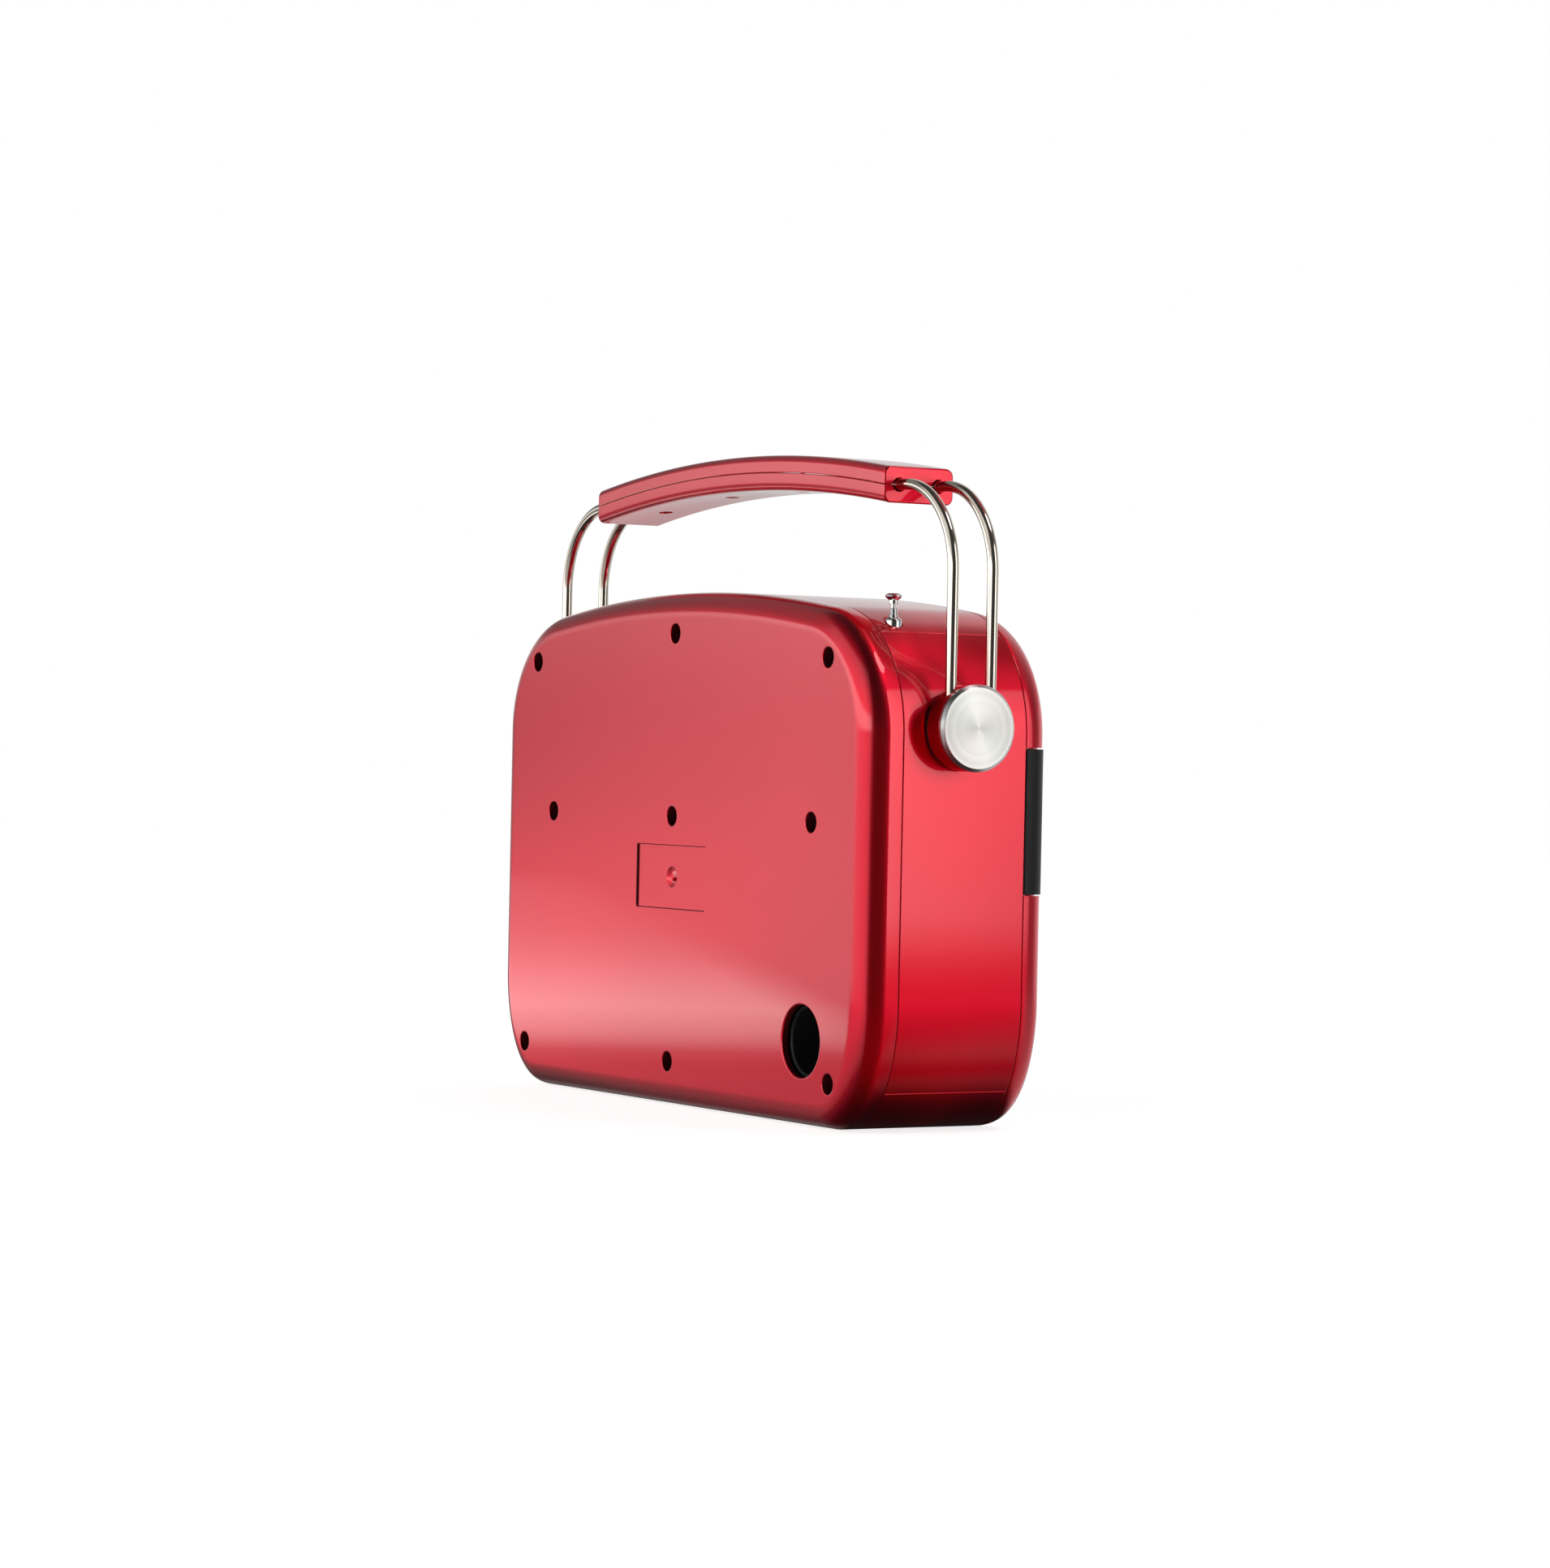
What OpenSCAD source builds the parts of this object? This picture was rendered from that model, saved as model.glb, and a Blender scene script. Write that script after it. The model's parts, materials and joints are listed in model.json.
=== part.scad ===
// Table-size portable radio: three-part lacquered cabinet, swinging twin-rod
// carrying handle, telescopic antenna, front controls with a dial, and the works.
// +X is to the right seen from the front, +Y is towards the rear cover, +Z is up.
// The origin is under the middle of the whole radio, on the surface it stands on.

/* [Cabinet] */
// Width of the cabinet
body_w = 340; // [320:1:360]
// Height of the cabinet at the crown of its arched top
body_h = 236.5; // [225:0.5:250]
// Depth of the cabinet from the rear cover to the front bezel
body_d = 93.8; // [88:0.1:104]
// How far the arched top drops from the crown to the sides
arch_drop = 16.5; // [10:0.5:24]
// Radius of the top corners
corner_r = 56; // [45:1:64]
// Width of the elliptical bottom corners
foot_corner_w = 36; // [24:1:44]
// Height of the elliptical bottom corners
foot_corner_h = 56; // [40:1:64]
// Wall of the three moulded shells
wall = 3; // [2.6:0.1:3.4]
// Depth of the rear cover, from its seam to its flat
rear_d = 18.1; // [17:0.1:19.5]
// Depth of the front bezel, from its seam to its flat
front_d = 12.4; // [12:0.1:13]
// How far the rear edge rounds inwards
rear_inset = 11; // [8:0.5:13]
// How far the front edge rounds inwards
front_inset = 7.5; // [6:0.5:9]
// How far the rubber feet stand below the cabinet
foot_proud = 0.6; // [0.4:0.1:1]

/* [Rear cover] */
// Radius of the screw wells
well_r = 4.5; // [4:0.1:5]
// Bore radius of the bass port
port_r = 14.2; // [12:0.1:14.4]
// Distance of the bass port from the middle
port_x = 118.9; // [114:0.1:122]
// Height of the bass port above the cabinet's underside
port_h = 37.6; // [36:0.1:42]
// Width of the recess for a rating label
label_w = 64; // [50:1:80]
// Height of the recess for a rating label
label_h = 28.9; // [20:0.1:36]

/* [Handle] */
// Height of the handle's pivot above the cabinet's underside
hub_h = 175.7; // [172:0.1:178]
// Radius of the hubs
hub_r = 18.9; // [17:0.1:20]
// Diameter of the handle rods
rod_d = 5; // [4.6:0.1:5.2]
// Distance of each rod from the pivot, front and rear
rod_off = 10.2; // [9.8:0.1:11]
// Bend radius of the rods
bend_r = 39; // [34:0.5:42]
// Half the length of the grip
grip_half = 132; // [124:1:134]
// Width of the grip, front to rear
grip_w = 36; // [32:1:40]
// Thickness of the grip
grip_t = 16; // [14:0.5:18]
// Height of the grip's crown above the cabinet's underside
grip_h = 300; // [296:0.5:304]

/* [Front] */
// Height of the band panel's lower edge above the cabinet's underside
band_low = 103.7; // [100:0.1:106]
// Height of the band panel's upper edge above the cabinet's underside
band_high = 167.3; // [165:0.1:170]
// How far the knobs stand in front of the bezel
front_proud = 12.8; // [12.6:0.1:13.4]
// Distance of each knob from the middle
knob_x = 98; // [96:0.5:100]
// Radius of the knobs
knob_r = 21; // [18:0.5:22]
// Travel of the push buttons
press = 1.6; // [1.2:0.1:1.6]

/* [Antenna] */
// Distance of the antenna from the middle
antenna_x = 141; // [139:0.1:142]
// Distance of the antenna behind the handle's pivot
antenna_back = 17.7; // [16:0.1:18.5]
// Outer diameter of the antenna's housing tube
antenna_d = 7.8; // [7.6:0.1:8]

/* [Hidden] */

red = [0.72, 0.05, 0.10];
black = [0.06, 0.06, 0.07];
chrome = [0.80, 0.79, 0.75];
over = 1; // how far a cutting tool runs past the face it cuts

// places in depth, with the whole radio centred on Y = 0
back_y = (body_d + front_proud) / 2;
front_y = back_y - body_d;
rear_seam = back_y - rear_d;
front_seam = front_y + front_d;
hub_y = back_y - 47.3;
rear_round = 12; // depth of the rear edge's rounding
knob_front = front_y - front_proud;

// heights, from the surface the feet stand on
base = foot_proud;
hub_z = base + hub_h;
grip_z = base + grip_h;
band_z0 = base + band_low;
band_z1 = base + band_high;
half_w = body_w / 2;

// the outline seen from the front: arch, round top corners, elliptical bottom corners
arch_r = (half_w * half_w + arch_drop * arch_drop) / (2 * arch_drop);
arch_z = base + body_h - arch_r;
corner_x = half_w - corner_r;
corner_z = arch_z + sqrt(pow(arch_r - corner_r, 2) - corner_x * corner_x);
corner_a = atan2(corner_z - arch_z, corner_x);
foot_x = half_w - foot_corner_w;
foot_z = base + foot_corner_h;
steps = 12; // facets along each corner and along each half of the arch

function half_outline(i) = concat(
    [for (k = [0 : steps]) let (a = -90 + 90 * k / steps)
        [foot_x + (foot_corner_w - i) * cos(a), foot_z + (foot_corner_h - i) * sin(a)]],
    [for (k = [0 : steps]) let (a = corner_a * k / steps)
        [corner_x + (corner_r - i) * cos(a), corner_z + (corner_r - i) * sin(a)]],
    [for (k = [1 : steps - 1]) let (a = corner_a + (90 - corner_a) * k / steps)
        [(arch_r - i) * cos(a), arch_z + (arch_r - i) * sin(a)]]);
function mirrored(p) = [for (k = [len(p) - 1 : -1 : 0]) [-p[k][0], p[k][1]]];
function outline(i) = let (h = half_outline(i)) concat(h, [[0, arch_z + arch_r - i]], mirrored(h));
function rounded(w, h, r, n = 6) = [for (q = [0 : 3], k = [0 : n])
    let (a = 90 * q + 90 * k / n, sx = (q == 0 || q == 3) ? 1 : -1, sz = (q < 2) ? 1 : -1)
        [sx * (w / 2 - r) + r * cos(a), sz * (h / 2 - r) + r * sin(a)]];

// a flat shape in X and Z, given depth from y0 to y1
module deep(y0, y1) { translate([0, y1, 0]) rotate([90, 0, 0]) linear_extrude(y1 - y0) children(); }
module outline_block(i, y0, y1) { deep(y0, y1) polygon(outline(i)); }
module panel(w, h, r, z, y0, y1) { translate([0, 0, z]) deep(y0, y1) polygon(rounded(w, h, r)); }
module rod_y(r, y0, y1) {
    translate([0, y0, 0]) rotate([-90, 0, 0]) cylinder(r = r, h = y1 - y0, $fn = 64);
}
module rod_x(r, x0, x1) { translate([x0, 0, 0]) rotate([0, 90, 0]) cylinder(r = r, h = x1 - x0, $fn = 64); }

// a shell block that rounds over from its seam: side is 1 for the rear, -1 for the front
function pillow_ring(i, y) = [for (p = outline(i)) [p[0], y, p[1]]];
function pillow_rings(seam, depth, straight, inset, side, grow, n) = concat(
    straight > 0 ? [pillow_ring(-grow, seam)] : [],
    [for (k = [0 : n]) let (a = 90 * k / n)
        pillow_ring(inset * (1 - cos(a)) - grow,
            seam + side * (straight + (depth - straight + grow) * sin(a)))]);
module pillow(seam, depth, straight, inset, side, grow, n = 6) {
    rings = pillow_rings(seam, depth, straight, inset, side, grow, n);
    m = len(rings[0]);
    last = (len(rings) - 1) * m;
    sides = [for (k = [0 : len(rings) - 2], i = [0 : m - 1])
        let (a = k * m + i, b = k * m + (i + 1) % m) each [[a, b, b + m], [a, b + m, a + m]]];
    faces = concat(sides, [[for (i = [m - 1 : -1 : 0]) i]], [[for (i = [0 : m - 1]) last + i]]);
    polyhedron([for (r = rings) each r],
        side > 0 ? faces : [for (f = faces) [for (i = [len(f) - 1 : -1 : 0]) f[i]]]);
}
module rear_pillow(grow) { pillow(rear_seam, rear_d, rear_d - rear_round, rear_inset, 1, grow); }
module front_pillow(grow) { pillow(front_seam, front_d, 0, front_inset, -1, grow); }

// the nine screws that hold the rear cover, as [x, height]
screw_spots = [[-135.7, 205.3], [0, 217.4], [135.7, 205.3], [-124, 133.4], [0, 133.4],
    [116.6, 133.4], [-142.2, 20.5], [0, 20.5], [142.2, 20.5]];
well_floor = rear_seam + 3.4;
post_end = well_floor - 2.5;
post_r = 4.5;
screw_r = 1.45;
screw_hold = 6; // length of thread in its post
low_screw_z = base + 20.5;
module at_screws() { for (s = screw_spots) translate([s[0], 0, base + s[1]]) children(); }

module label_recess() {
    z = base + 105.4;
    panel(label_w, label_h, 0.6, z, back_y - 0.8, back_y + over);
    translate([0, 0, z]) rod_y(5.2, back_y - 1.8, back_y);
}

module rear_cover() {
    port_rim = port_r + 1.75;
    color(red) difference() {
        union() {
            difference() {
                rear_pillow(0);
                outline_block(wall, rear_seam - over, back_y - 9);
                outline_block(wall + 4, rear_seam - over, back_y - wall);
            }
            at_screws() rod_y(well_r + 1.7, post_end, back_y - 2);
        }
        at_screws() {
            rod_y(well_r, well_floor, back_y + over);
            rod_y(2.1, post_end - over, well_floor + over);
        }
        translate([-port_x, 0, base + port_h]) rod_y(port_rim, rear_seam, back_y + over);
        label_recess();
    }
}

// centre shell
lip = 3;
foot_spots = [for (x = [-112, 112], y = [-20, 27]) [x, y]];
foot_r = 7;
door_x = 74;
door_y0 = -10;
door_y1 = 26;
door_t = 1.6;
door_slide = 12;
jack_y = 10;
jack_z = [62, 82];

// a thin ring that runs from the shell's wall into the neighbouring shell, past the seam
module locating_lip(out, in, far) {
    y0 = min(out, in);
    y1 = max(out, in, far);
    difference() {
        union() {
            outline_block(wall + 0.3, y0, y1);
            if (out < in) outline_block(wall - 0.2, in, far);
            else outline_block(wall - 0.2, in, out);
        }
        outline_block(wall + 1.8, y0 - over, y1 + over);
    }
}
module centre_shell() {
    color(red) difference() {
        union() {
            difference() {
                outline_block(0, front_seam, rear_seam);
                outline_block(wall, front_seam - over, rear_seam + over);
            }
            locating_lip(front_seam - lip, front_seam, front_seam + lip);
            locating_lip(rear_seam, rear_seam - lip, rear_seam + lip);
            for (s = [-1, 1])
                translate([0, hub_y, hub_z])
                    rod_x(12, s > 0 ? half_w - 9 : -half_w + 1, s > 0 ? half_w - 1 : -half_w + 9);
        }
        translate([0, hub_y, hub_z]) rod_x(4.05, -half_w - over, half_w + over);
        translate([-antenna_x, hub_y + antenna_back, corner_z + 20])
            cylinder(r = 4.3, h = corner_r, $fn = 64);
        for (f = foot_spots) translate([f[0], f[1], base - over])
            cylinder(r = foot_r, h = 1.5 + over, $fn = 64);
        translate([-door_x, door_y0, base - over])
            cube([2 * door_x + door_slide + 0.6, door_y1 - door_y0, over + door_t]);
        translate([-door_x + 5, door_y0 + 4, base])
            cube([2 * door_x - 10, door_y1 - door_y0 - 8, wall + over]);
        for (z = jack_z) translate([0, jack_y, base + z]) rod_x(3.4, half_w - 10, half_w + over);
    }
}

// front bezel, with the window for the grille and the channel for the band panel
window_w = 284;
window_h = 76;
window_z = base + 58;
window_r = 14;
scale_w = 132;
scale_h = 34;
scale_z = base + 141;
button_z = base + 113.5;
button_w = 20;
button_h = 8;
button_spots = [-28, 0, 28];
bezel_y = front_y + wall; // back face of the bezel's flat
knob_z = base + 136;
band_gap = 0.6; // groove above and below the band panel
band_seat = 1.6; // depth of the channel that the band panel sits in
band_proud = 0.4;
lamp_z = base + 196;
lamp_r = 2.5;

module band_slab(y0, lower, upper) {
    translate([-half_w - 10, y0, lower]) cube([body_w + 20, front_seam - y0, upper - lower]);
}
module control_holes(gap) {
    panel(scale_w - 2 * gap, scale_h - 2 * gap, 3, scale_z, front_y - 4, bezel_y + over);
    for (x = button_spots) translate([x, 0, 0])
        panel(button_w + 0.8, button_h + 0.8, 1.4, button_z, front_y - 4, bezel_y + over);
    for (s = [-1, 1]) translate([s * knob_x, 0, knob_z]) rod_y(3.6, front_y - 4, bezel_y + over);
}

module front_bezel() {
    color(red) difference() {
        front_pillow(0);
        difference() {
            band_slab(front_y - over, band_z0 - band_gap, band_z1 + band_gap);
            front_pillow(-band_seat);
        }
        outline_block(wall, front_y + 6, front_seam + over);
        outline_block(wall + 4.5, bezel_y, front_seam + over);
        panel(window_w, window_h, window_r, window_z, front_y - over, front_seam);
        control_holes(2);
        translate([0, 0, lamp_z]) rod_y(lamp_r + 0.05, front_y - over, bezel_y + over);
    }
}
module tuning_lamp() {
    color([0.9, 0.4, 0.1]) translate([0, 0, lamp_z]) {
        rod_y(lamp_r, front_y - 0.6, bezel_y + 0.5);
        rod_y(lamp_r + 0.8, bezel_y + 0.02, bezel_y + 1.2);
    }
}

module band_panel() {
    color(black) difference() {
        intersection() {
            difference() {
                front_pillow(band_proud);
                front_pillow(0.05 - band_seat);
            }
            band_slab(front_y - 10, band_z0, band_z1);
        }
        control_holes(0);
    }
}

slot_pitch = 6.2;
slot_h = 3.6;
slot_count = 10;
slot_w = 130;
slot_end_w = 122; // the first and the last slot are shorter, for the round corners
slot_x = 67;
module grille() {
    color(chrome) difference() {
        union() {
            panel(window_w - 0.6, window_h - 0.6, window_r - 0.3, window_z, front_y + 0.8, bezel_y);
            panel(window_w + 5, window_h + 5, window_r + 2, window_z, bezel_y + 0.1, bezel_y + 1.2);
            panel(window_w - 0.6, window_h - 0.6, window_r - 0.3, window_z, bezel_y - over, bezel_y + 0.5);
        }
        for (k = [0 : slot_count - 1], s = [-1, 1]) {
            cut = (k == 0 || k == slot_count - 1) ? slot_end_w : slot_w;
            middle = window_z + (k - (slot_count - 1) / 2) * slot_pitch;
            translate([s * slot_x - cut / 2, front_y, middle - slot_h / 2]) cube([cut, wall + 3, slot_h]);
        }
    }
}
module grille_trim() {
    color(chrome) difference() {
        union() {
            panel(window_w + 4, window_h + 4, window_r + 2, window_z, front_y - 0.9, front_y);
            panel(window_w - 0.1, window_h - 0.1, window_r, window_z, front_y - 0.5, front_y + 0.7);
        }
        panel(window_w - 3, window_h - 3, window_r - 1.5, window_z, front_y - over - 1, front_y + over + 1);
    }
}
module grille_cloth() {
    color([0.12, 0.12, 0.13])
        panel(window_w + 4, window_h + 4, window_r + 2, window_z, bezel_y + 1.3, bezel_y + 1.9);
}
module scale_lens() {
    color([0.85, 0.9, 0.9, 0.4])
        panel(scale_w - 0.4, scale_h - 0.4, 2.8, scale_z, front_y - 0.9, front_y + 1.5);
}
rail_z = scale_z + 19;
rail_end = 64;
module scale_plate() {
    y = bezel_y + 2.6;
    color([0.9, 0.87, 0.78]) difference() {
        panel(scale_w + 12, scale_h + 8, 3, scale_z, y, y + 1.4);
        for (s = [-1, 1]) translate([s * 68, 0, scale_z]) rod_y(1.4, y - over, y + 3);
    }
    color(chrome) translate([0, y - 0.9, rail_z]) rod_x(0.8, -rail_end, rail_end);
    color(chrome) for (s = [-1, 1]) translate([s * rail_end, 0, rail_z]) rod_y(1.5, y - 1.8, y + 0.1);
}

// chassis: the baffle that carries the speakers and controls, and the posts for the rear screws
baffle_y = front_seam + 0.6;
baffle_t = 2.5;
speaker_x = 88;
speaker_z = base + 58;
speaker_hole = 35;
ferrite_y = 12;
ferrite_z = base + 196;
ferrite_r = 5;

module chassis_post(x, z) {
    near_antenna = x < -130 && z > 200;
    if (near_antenna) {
        translate([x + 6.2, 0, z]) rod_y(post_r - 0.5, baffle_y, post_end);
        translate([x, 0, z]) rod_y(post_r - 0.5, post_end - 5, post_end);
        translate([x, post_end - 5, z - 3]) cube([7, 5, 6]);
    } else if (x != 0 || z > 60) {
        translate([x, 0, z]) rod_y(post_r, baffle_y, post_end);
    }
}
module chassis() {
    color(black) difference() {
        union() {
            difference() {
                outline_block(wall + 3, baffle_y, baffle_y + baffle_t);
                for (s = [-1, 1]) translate([s * speaker_x, 0, speaker_z])
                    rod_y(speaker_hole, baffle_y - over, baffle_y + 5);
                panel(84, 14, 2, button_z, baffle_y - over, baffle_y + 5);
            }
            for (s = screw_spots) chassis_post(s[0], base + s[1]);
            for (s = [-1, 1]) translate([s * 62 - 2, baffle_y, ferrite_z - 8])
                cube([4, ferrite_y + 8 - baffle_y, 16]);
        }
        at_screws() rod_y(screw_r + 0.05, post_end - 12, post_end + over);
        translate([0, ferrite_y, ferrite_z]) rod_x(ferrite_r + 0.02, -66, 66);
        for (s = [-1, 1]) translate([s * knob_x, 0, knob_z]) rod_y(4.6, baffle_y - over, baffle_y + 5);
    }
}

// speakers, drawn on their own axis, which points to the front
module ring_y(points, x, z) {
    translate([x, 0, z]) rotate([90, 0, 0]) rotate_extrude($fn = 96) polygon(points);
}
spk = -baffle_y; // the speaker flange's back face, measured forward
module speaker_frame(x) {
    color([0.3, 0.3, 0.32])
        ring_y([[30.6, spk + 2], [38.5, spk + 2], [38.5, spk], [34.4, spk], [33.4, spk - 5],
        [20, spk - 20], [9, spk - 20], [9, spk - 18.6], [19.4, spk - 18.6], [31.6, spk - 5],
            [32.4, spk - 0.5], [30.6, spk]],
        x, speaker_z);
}
module speaker_cone(x) {
    color([0.15, 0.15, 0.16])
        ring_y([[30, spk + 1.6], [30.5, spk + 1.6], [30.5, spk + 0.6], [28, spk + 0.2],
        [9.6, spk - 13], [9.6, spk - 17.5], [8.8, spk - 17.5], [8.8, spk - 12], [0, spk - 9.6],
            [0, spk - 8.8], [5, spk - 9.4],
        [9.4, spk - 11.6], [27, spk + 1], [29, spk + 2.2]], x, speaker_z);
}
module speaker_magnet(x) {
    color([0.2, 0.2, 0.22])
        ring_y([[0, spk - 20.1], [16, spk - 20.1], [22, spk - 20.1], [22, spk - 29], [18, spk - 29],
        [18, spk - 31], [0, spk - 31]], x, speaker_z);
}

module port_tube() {
    color(black) translate([-port_x, 0, base + port_h]) rotate([90, 0, 0]) rotate_extrude($fn = 96)
        polygon([[port_r, -back_y + 1.2], [port_r + 1.7, -back_y + 1.2], [port_r + 1.7, -13.3],
            [port_r, -13.3]]);
}
module rear_screws() {
    color(chrome) at_screws() difference() {
        union() {
            rod_y(screw_r, post_end - screw_hold, well_floor + 0.5);
            rod_y(3.6, well_floor, well_floor + 2.4);
        }
        for (a = [0, 90]) rotate([0, a, 0]) translate([-2.2, well_floor + 1.2, -0.45]) cube([4.4, 2, 0.9]);
    }
}
module feet() {
    color([0.05, 0.05, 0.05]) for (f = foot_spots) translate([f[0], f[1], 0])
        cylinder(r = foot_r - 0.1, h = base + 1.5, $fn = 64);
}

// power
box_x = 70;
box_top = base + 29;
module battery_box() {
    color(black) difference() {
        union() {
            translate([-box_x, door_y0 - 3, base + wall])
                cube([2 * box_x, door_y1 + 6 - door_y0, box_top - base - wall]);
            translate([0, 0, low_screw_z]) rod_y(post_r, door_y1 + 2, post_end);
        }
        translate([-box_x + 1.6, door_y0 - 1.4, base])
            cube([2 * box_x - 3.2, door_y1 + 2.8 - door_y0, box_top - base - 1.6]);
        translate([0, 0, low_screw_z]) rod_y(screw_r + 0.05, door_y1 + 3.5, post_end + over);
    }
}
module battery_pack() {
    cell_r = 9.2;
    color([0.15, 0.3, 0.5]) for (s = [-1, 1])
        translate([0, (door_y0 + door_y1) / 2 + s * (cell_r + 0.02), base + wall + cell_r + 2]) {
            rod_x(cell_r, -64, 64);
            rod_x(3, 64, 65.2);
        }
}
module battery_door() {
    gap = 0.3;
    color(red) difference() {
        union() {
            translate([-door_x + gap, door_y0 + gap, base])
                cube([2 * door_x - gap, door_y1 - door_y0 - 2 * gap, door_t - 0.2]);
            translate([-door_x + 8, door_y0 + 5, base + 0.5])
                cube([2 * door_x - 13 - door_slide - 2, door_y1 - door_y0 - 10, wall + 0.2]);
        }
        for (k = [0 : 3]) translate([door_x - 26 + 4 * k, door_y0 + 10, base - over])
            cube([1.6, door_y1 - door_y0 - 20, over + 0.5]);
    }
}

// electronics
board_y = baffle_y + 7.5;
module main_board() {
    color([0.1, 0.35, 0.2]) difference() {
        panel(172, 62, 2, base + 135, board_y, board_y + 1.6);
        translate([0, 0, base + 133.4]) rod_y(post_r + 0.8, board_y - over, board_y + 3);
    }
    color([0.1, 0.1, 0.1]) {
        for (x = button_spots) translate([x - 3, board_y - 3.2, button_z - 3]) cube([6, 3.3, 6]);
        translate([20, board_y + 1.5, base + 140]) cube([18, 2.5, 9]);
        translate([-50, board_y + 1.5, base + 118]) cube([24, 2.5, 10]);
    }
    color([0.6, 0.6, 0.62]) for (k = [0 : 4]) translate([-70 + 9 * k, 0, base + 155])
        rod_y(3.2, board_y + 1.5, board_y + 12);
    color([0.7, 0.6, 0.3]) for (k = [0 : 2]) translate([50 + 12 * k - 4, board_y + 1.5, base + 151])
        cube([8, 9, 8]);
}
module volume_pot() {
    color([0.55, 0.55, 0.58]) translate([-knob_x, 0, knob_z]) difference() {
        union() {
            rod_y(8.5, baffle_y + baffle_t, baffle_y + baffle_t + 9);
            rod_y(4.5, baffle_y - 4, baffle_y + baffle_t + 1);
        }
        rod_y(3.05, baffle_y - 5, baffle_y + baffle_t + 7);
    }
}
module tuning_capacitor() {
    color([0.85, 0.85, 0.8]) translate([knob_x, 0, knob_z]) difference() {
        union() {
            translate([-8, baffle_y + baffle_t, -10]) cube([20, 14, 20]);
            rod_y(4.5, baffle_y - 4, baffle_y + baffle_t + 1);
        }
        rod_y(3.05, baffle_y - 5, baffle_y + baffle_t + 7);
    }
}
module ferrite_rod() {
    color([0.2, 0.2, 0.2]) translate([0, ferrite_y, ferrite_z]) rod_x(ferrite_r, -70, 70);
}
module ferrite_coil() {
    color([0.7, 0.4, 0.15]) translate([20, ferrite_y, ferrite_z]) rotate([0, 90, 0])
        rotate_extrude($fn = 64)
        polygon([[ferrite_r + 0.02, 0], [7, 0], [7, 28], [ferrite_r + 0.02, 28]]);
}
module jack(z, bore, pin) {
    color(black) translate([0, jack_y, base + z]) {
        difference() {
            union() {
                rod_x(3.3, half_w - 8, half_w - 0.4);
                translate([half_w - 19, -6, -5.5]) cube([15, 12, 11]);
            }
            rod_x(bore, half_w - 15, half_w + over);
        }
        if (pin > 0) rod_x(pin, half_w - 16, half_w - 2);
    }
}
module dc_jack() { jack(jack_z[0], 2.9, 1); }
module headphone_jack() { jack(jack_z[1], 1.8, 0); }

// antenna: a housing tube and three sliding sections, nested
tube_low = 62;
tube_top = base + 223.4;
tube_bore = 2.15;
module at_antenna(z) { translate([-antenna_x, hub_y + antenna_back, z]) children(); }
module tube(outer, inner, low, high, crimp) {
    rotate_extrude($fn = 48)
        polygon([[inner, low], [outer, low], [outer, high - crimp], [outer - crimp * 0.5, high],
            [inner, high]]);
}
module antenna_tube() {
    r = antenna_d / 2;
    color(chrome) at_antenna(0) {
        rotate_extrude($fn = 64) polygon([[tube_bore, tube_low], [r, tube_low], [r, tube_top - 1.5],
            [r - 0.4, tube_top - 0.7], [r - 1.2, tube_top], [tube_bore, tube_top]]);
        translate([0, 0, tube_low - 2]) cylinder(r = 3.6, h = 2.1, $fn = 48);
    }
}
module antenna_section_1() {
    color(chrome) at_antenna(0) tube(tube_bore - 0.05, 1.7, tube_low + 1, tube_top + 1.4, 0.4);
}
module antenna_section_2() {
    color(chrome) at_antenna(0) tube(1.65, 1.15, tube_low + 2, tube_top + 4.1, 0.3);
}
module antenna_section_3() {
    color(chrome) at_antenna(tube_low + 3) cylinder(r = 1.1, h = tube_top + 6.2 - tube_low - 3, $fn = 48);
}
module antenna_tip() {
    color(chrome) at_antenna(tube_top + 5.9) rotate_extrude($fn = 64)
        polygon([[1.12, 0], [2.1, 0], [2.1, 1.8], [2.35, 1.9], [3.65, 3.1], [3.65, 3.9], [2.7, 4.6],
            [0, 4.7], [0, 0.4], [1.12, 0.4]]);
}
module antenna_bracket() {
    x0 = -half_w + wall + 0.1;
    color([0.5, 0.5, 0.5]) difference() {
        union() {
            translate([x0, hub_y + antenna_back - 8, base + 80]) cube([2, 16, 70]);
            for (z = [80, 146]) translate([x0, hub_y + antenna_back - 8, base + z])
                cube([half_w - antenna_x + 6 - wall, 14, 4]);
        }
        at_antenna(base + 70) cylinder(r = antenna_d / 2 + 0.02, h = 100, $fn = 48);
    }
}

// controls
module knob(x) {
    back = front_y - 2.6;
    color([0.2, 0.2, 0.22]) translate([x, 0, knob_z]) difference() {
        rotate([90, 0, 0]) rotate_extrude($fn = 96)
            polygon([[0, -back], [knob_r, -back], [knob_r, -back + 2], [knob_r - 1, -back + 3],
                [knob_r - 1.6, -knob_front - 2.4], [knob_r - 2.4, -knob_front - 1.2],
                    [0, -knob_front - 1.2]]);
        rod_y(3, back - 6, back + over);
    }
}
module knob_cap(x) {
    color([0.85, 0.85, 0.86]) translate([x, 0, knob_z]) rotate([90, 0, 0]) rotate_extrude($fn = 96)
        polygon([[0, -knob_front - 1.15], [knob_r - 3, -knob_front - 1.15], [knob_r - 3, -knob_front - 0.6],
            [knob_r - 3.6, -knob_front], [0, -knob_front]]);
}
module shaft(x) {
    color([0.75, 0.65, 0.4]) translate([x, 0, knob_z])
        rod_y(2.98, front_y - 2.6 - 5.9, baffle_y + baffle_t + 5);
}
module volume_knob() { knob(-knob_x); }
module volume_knob_cap() { knob_cap(-knob_x); }
module volume_shaft() { shaft(-knob_x); }
module tuning_knob() { knob(knob_x); }
module tuning_knob_cap() { knob_cap(knob_x); }
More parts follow.
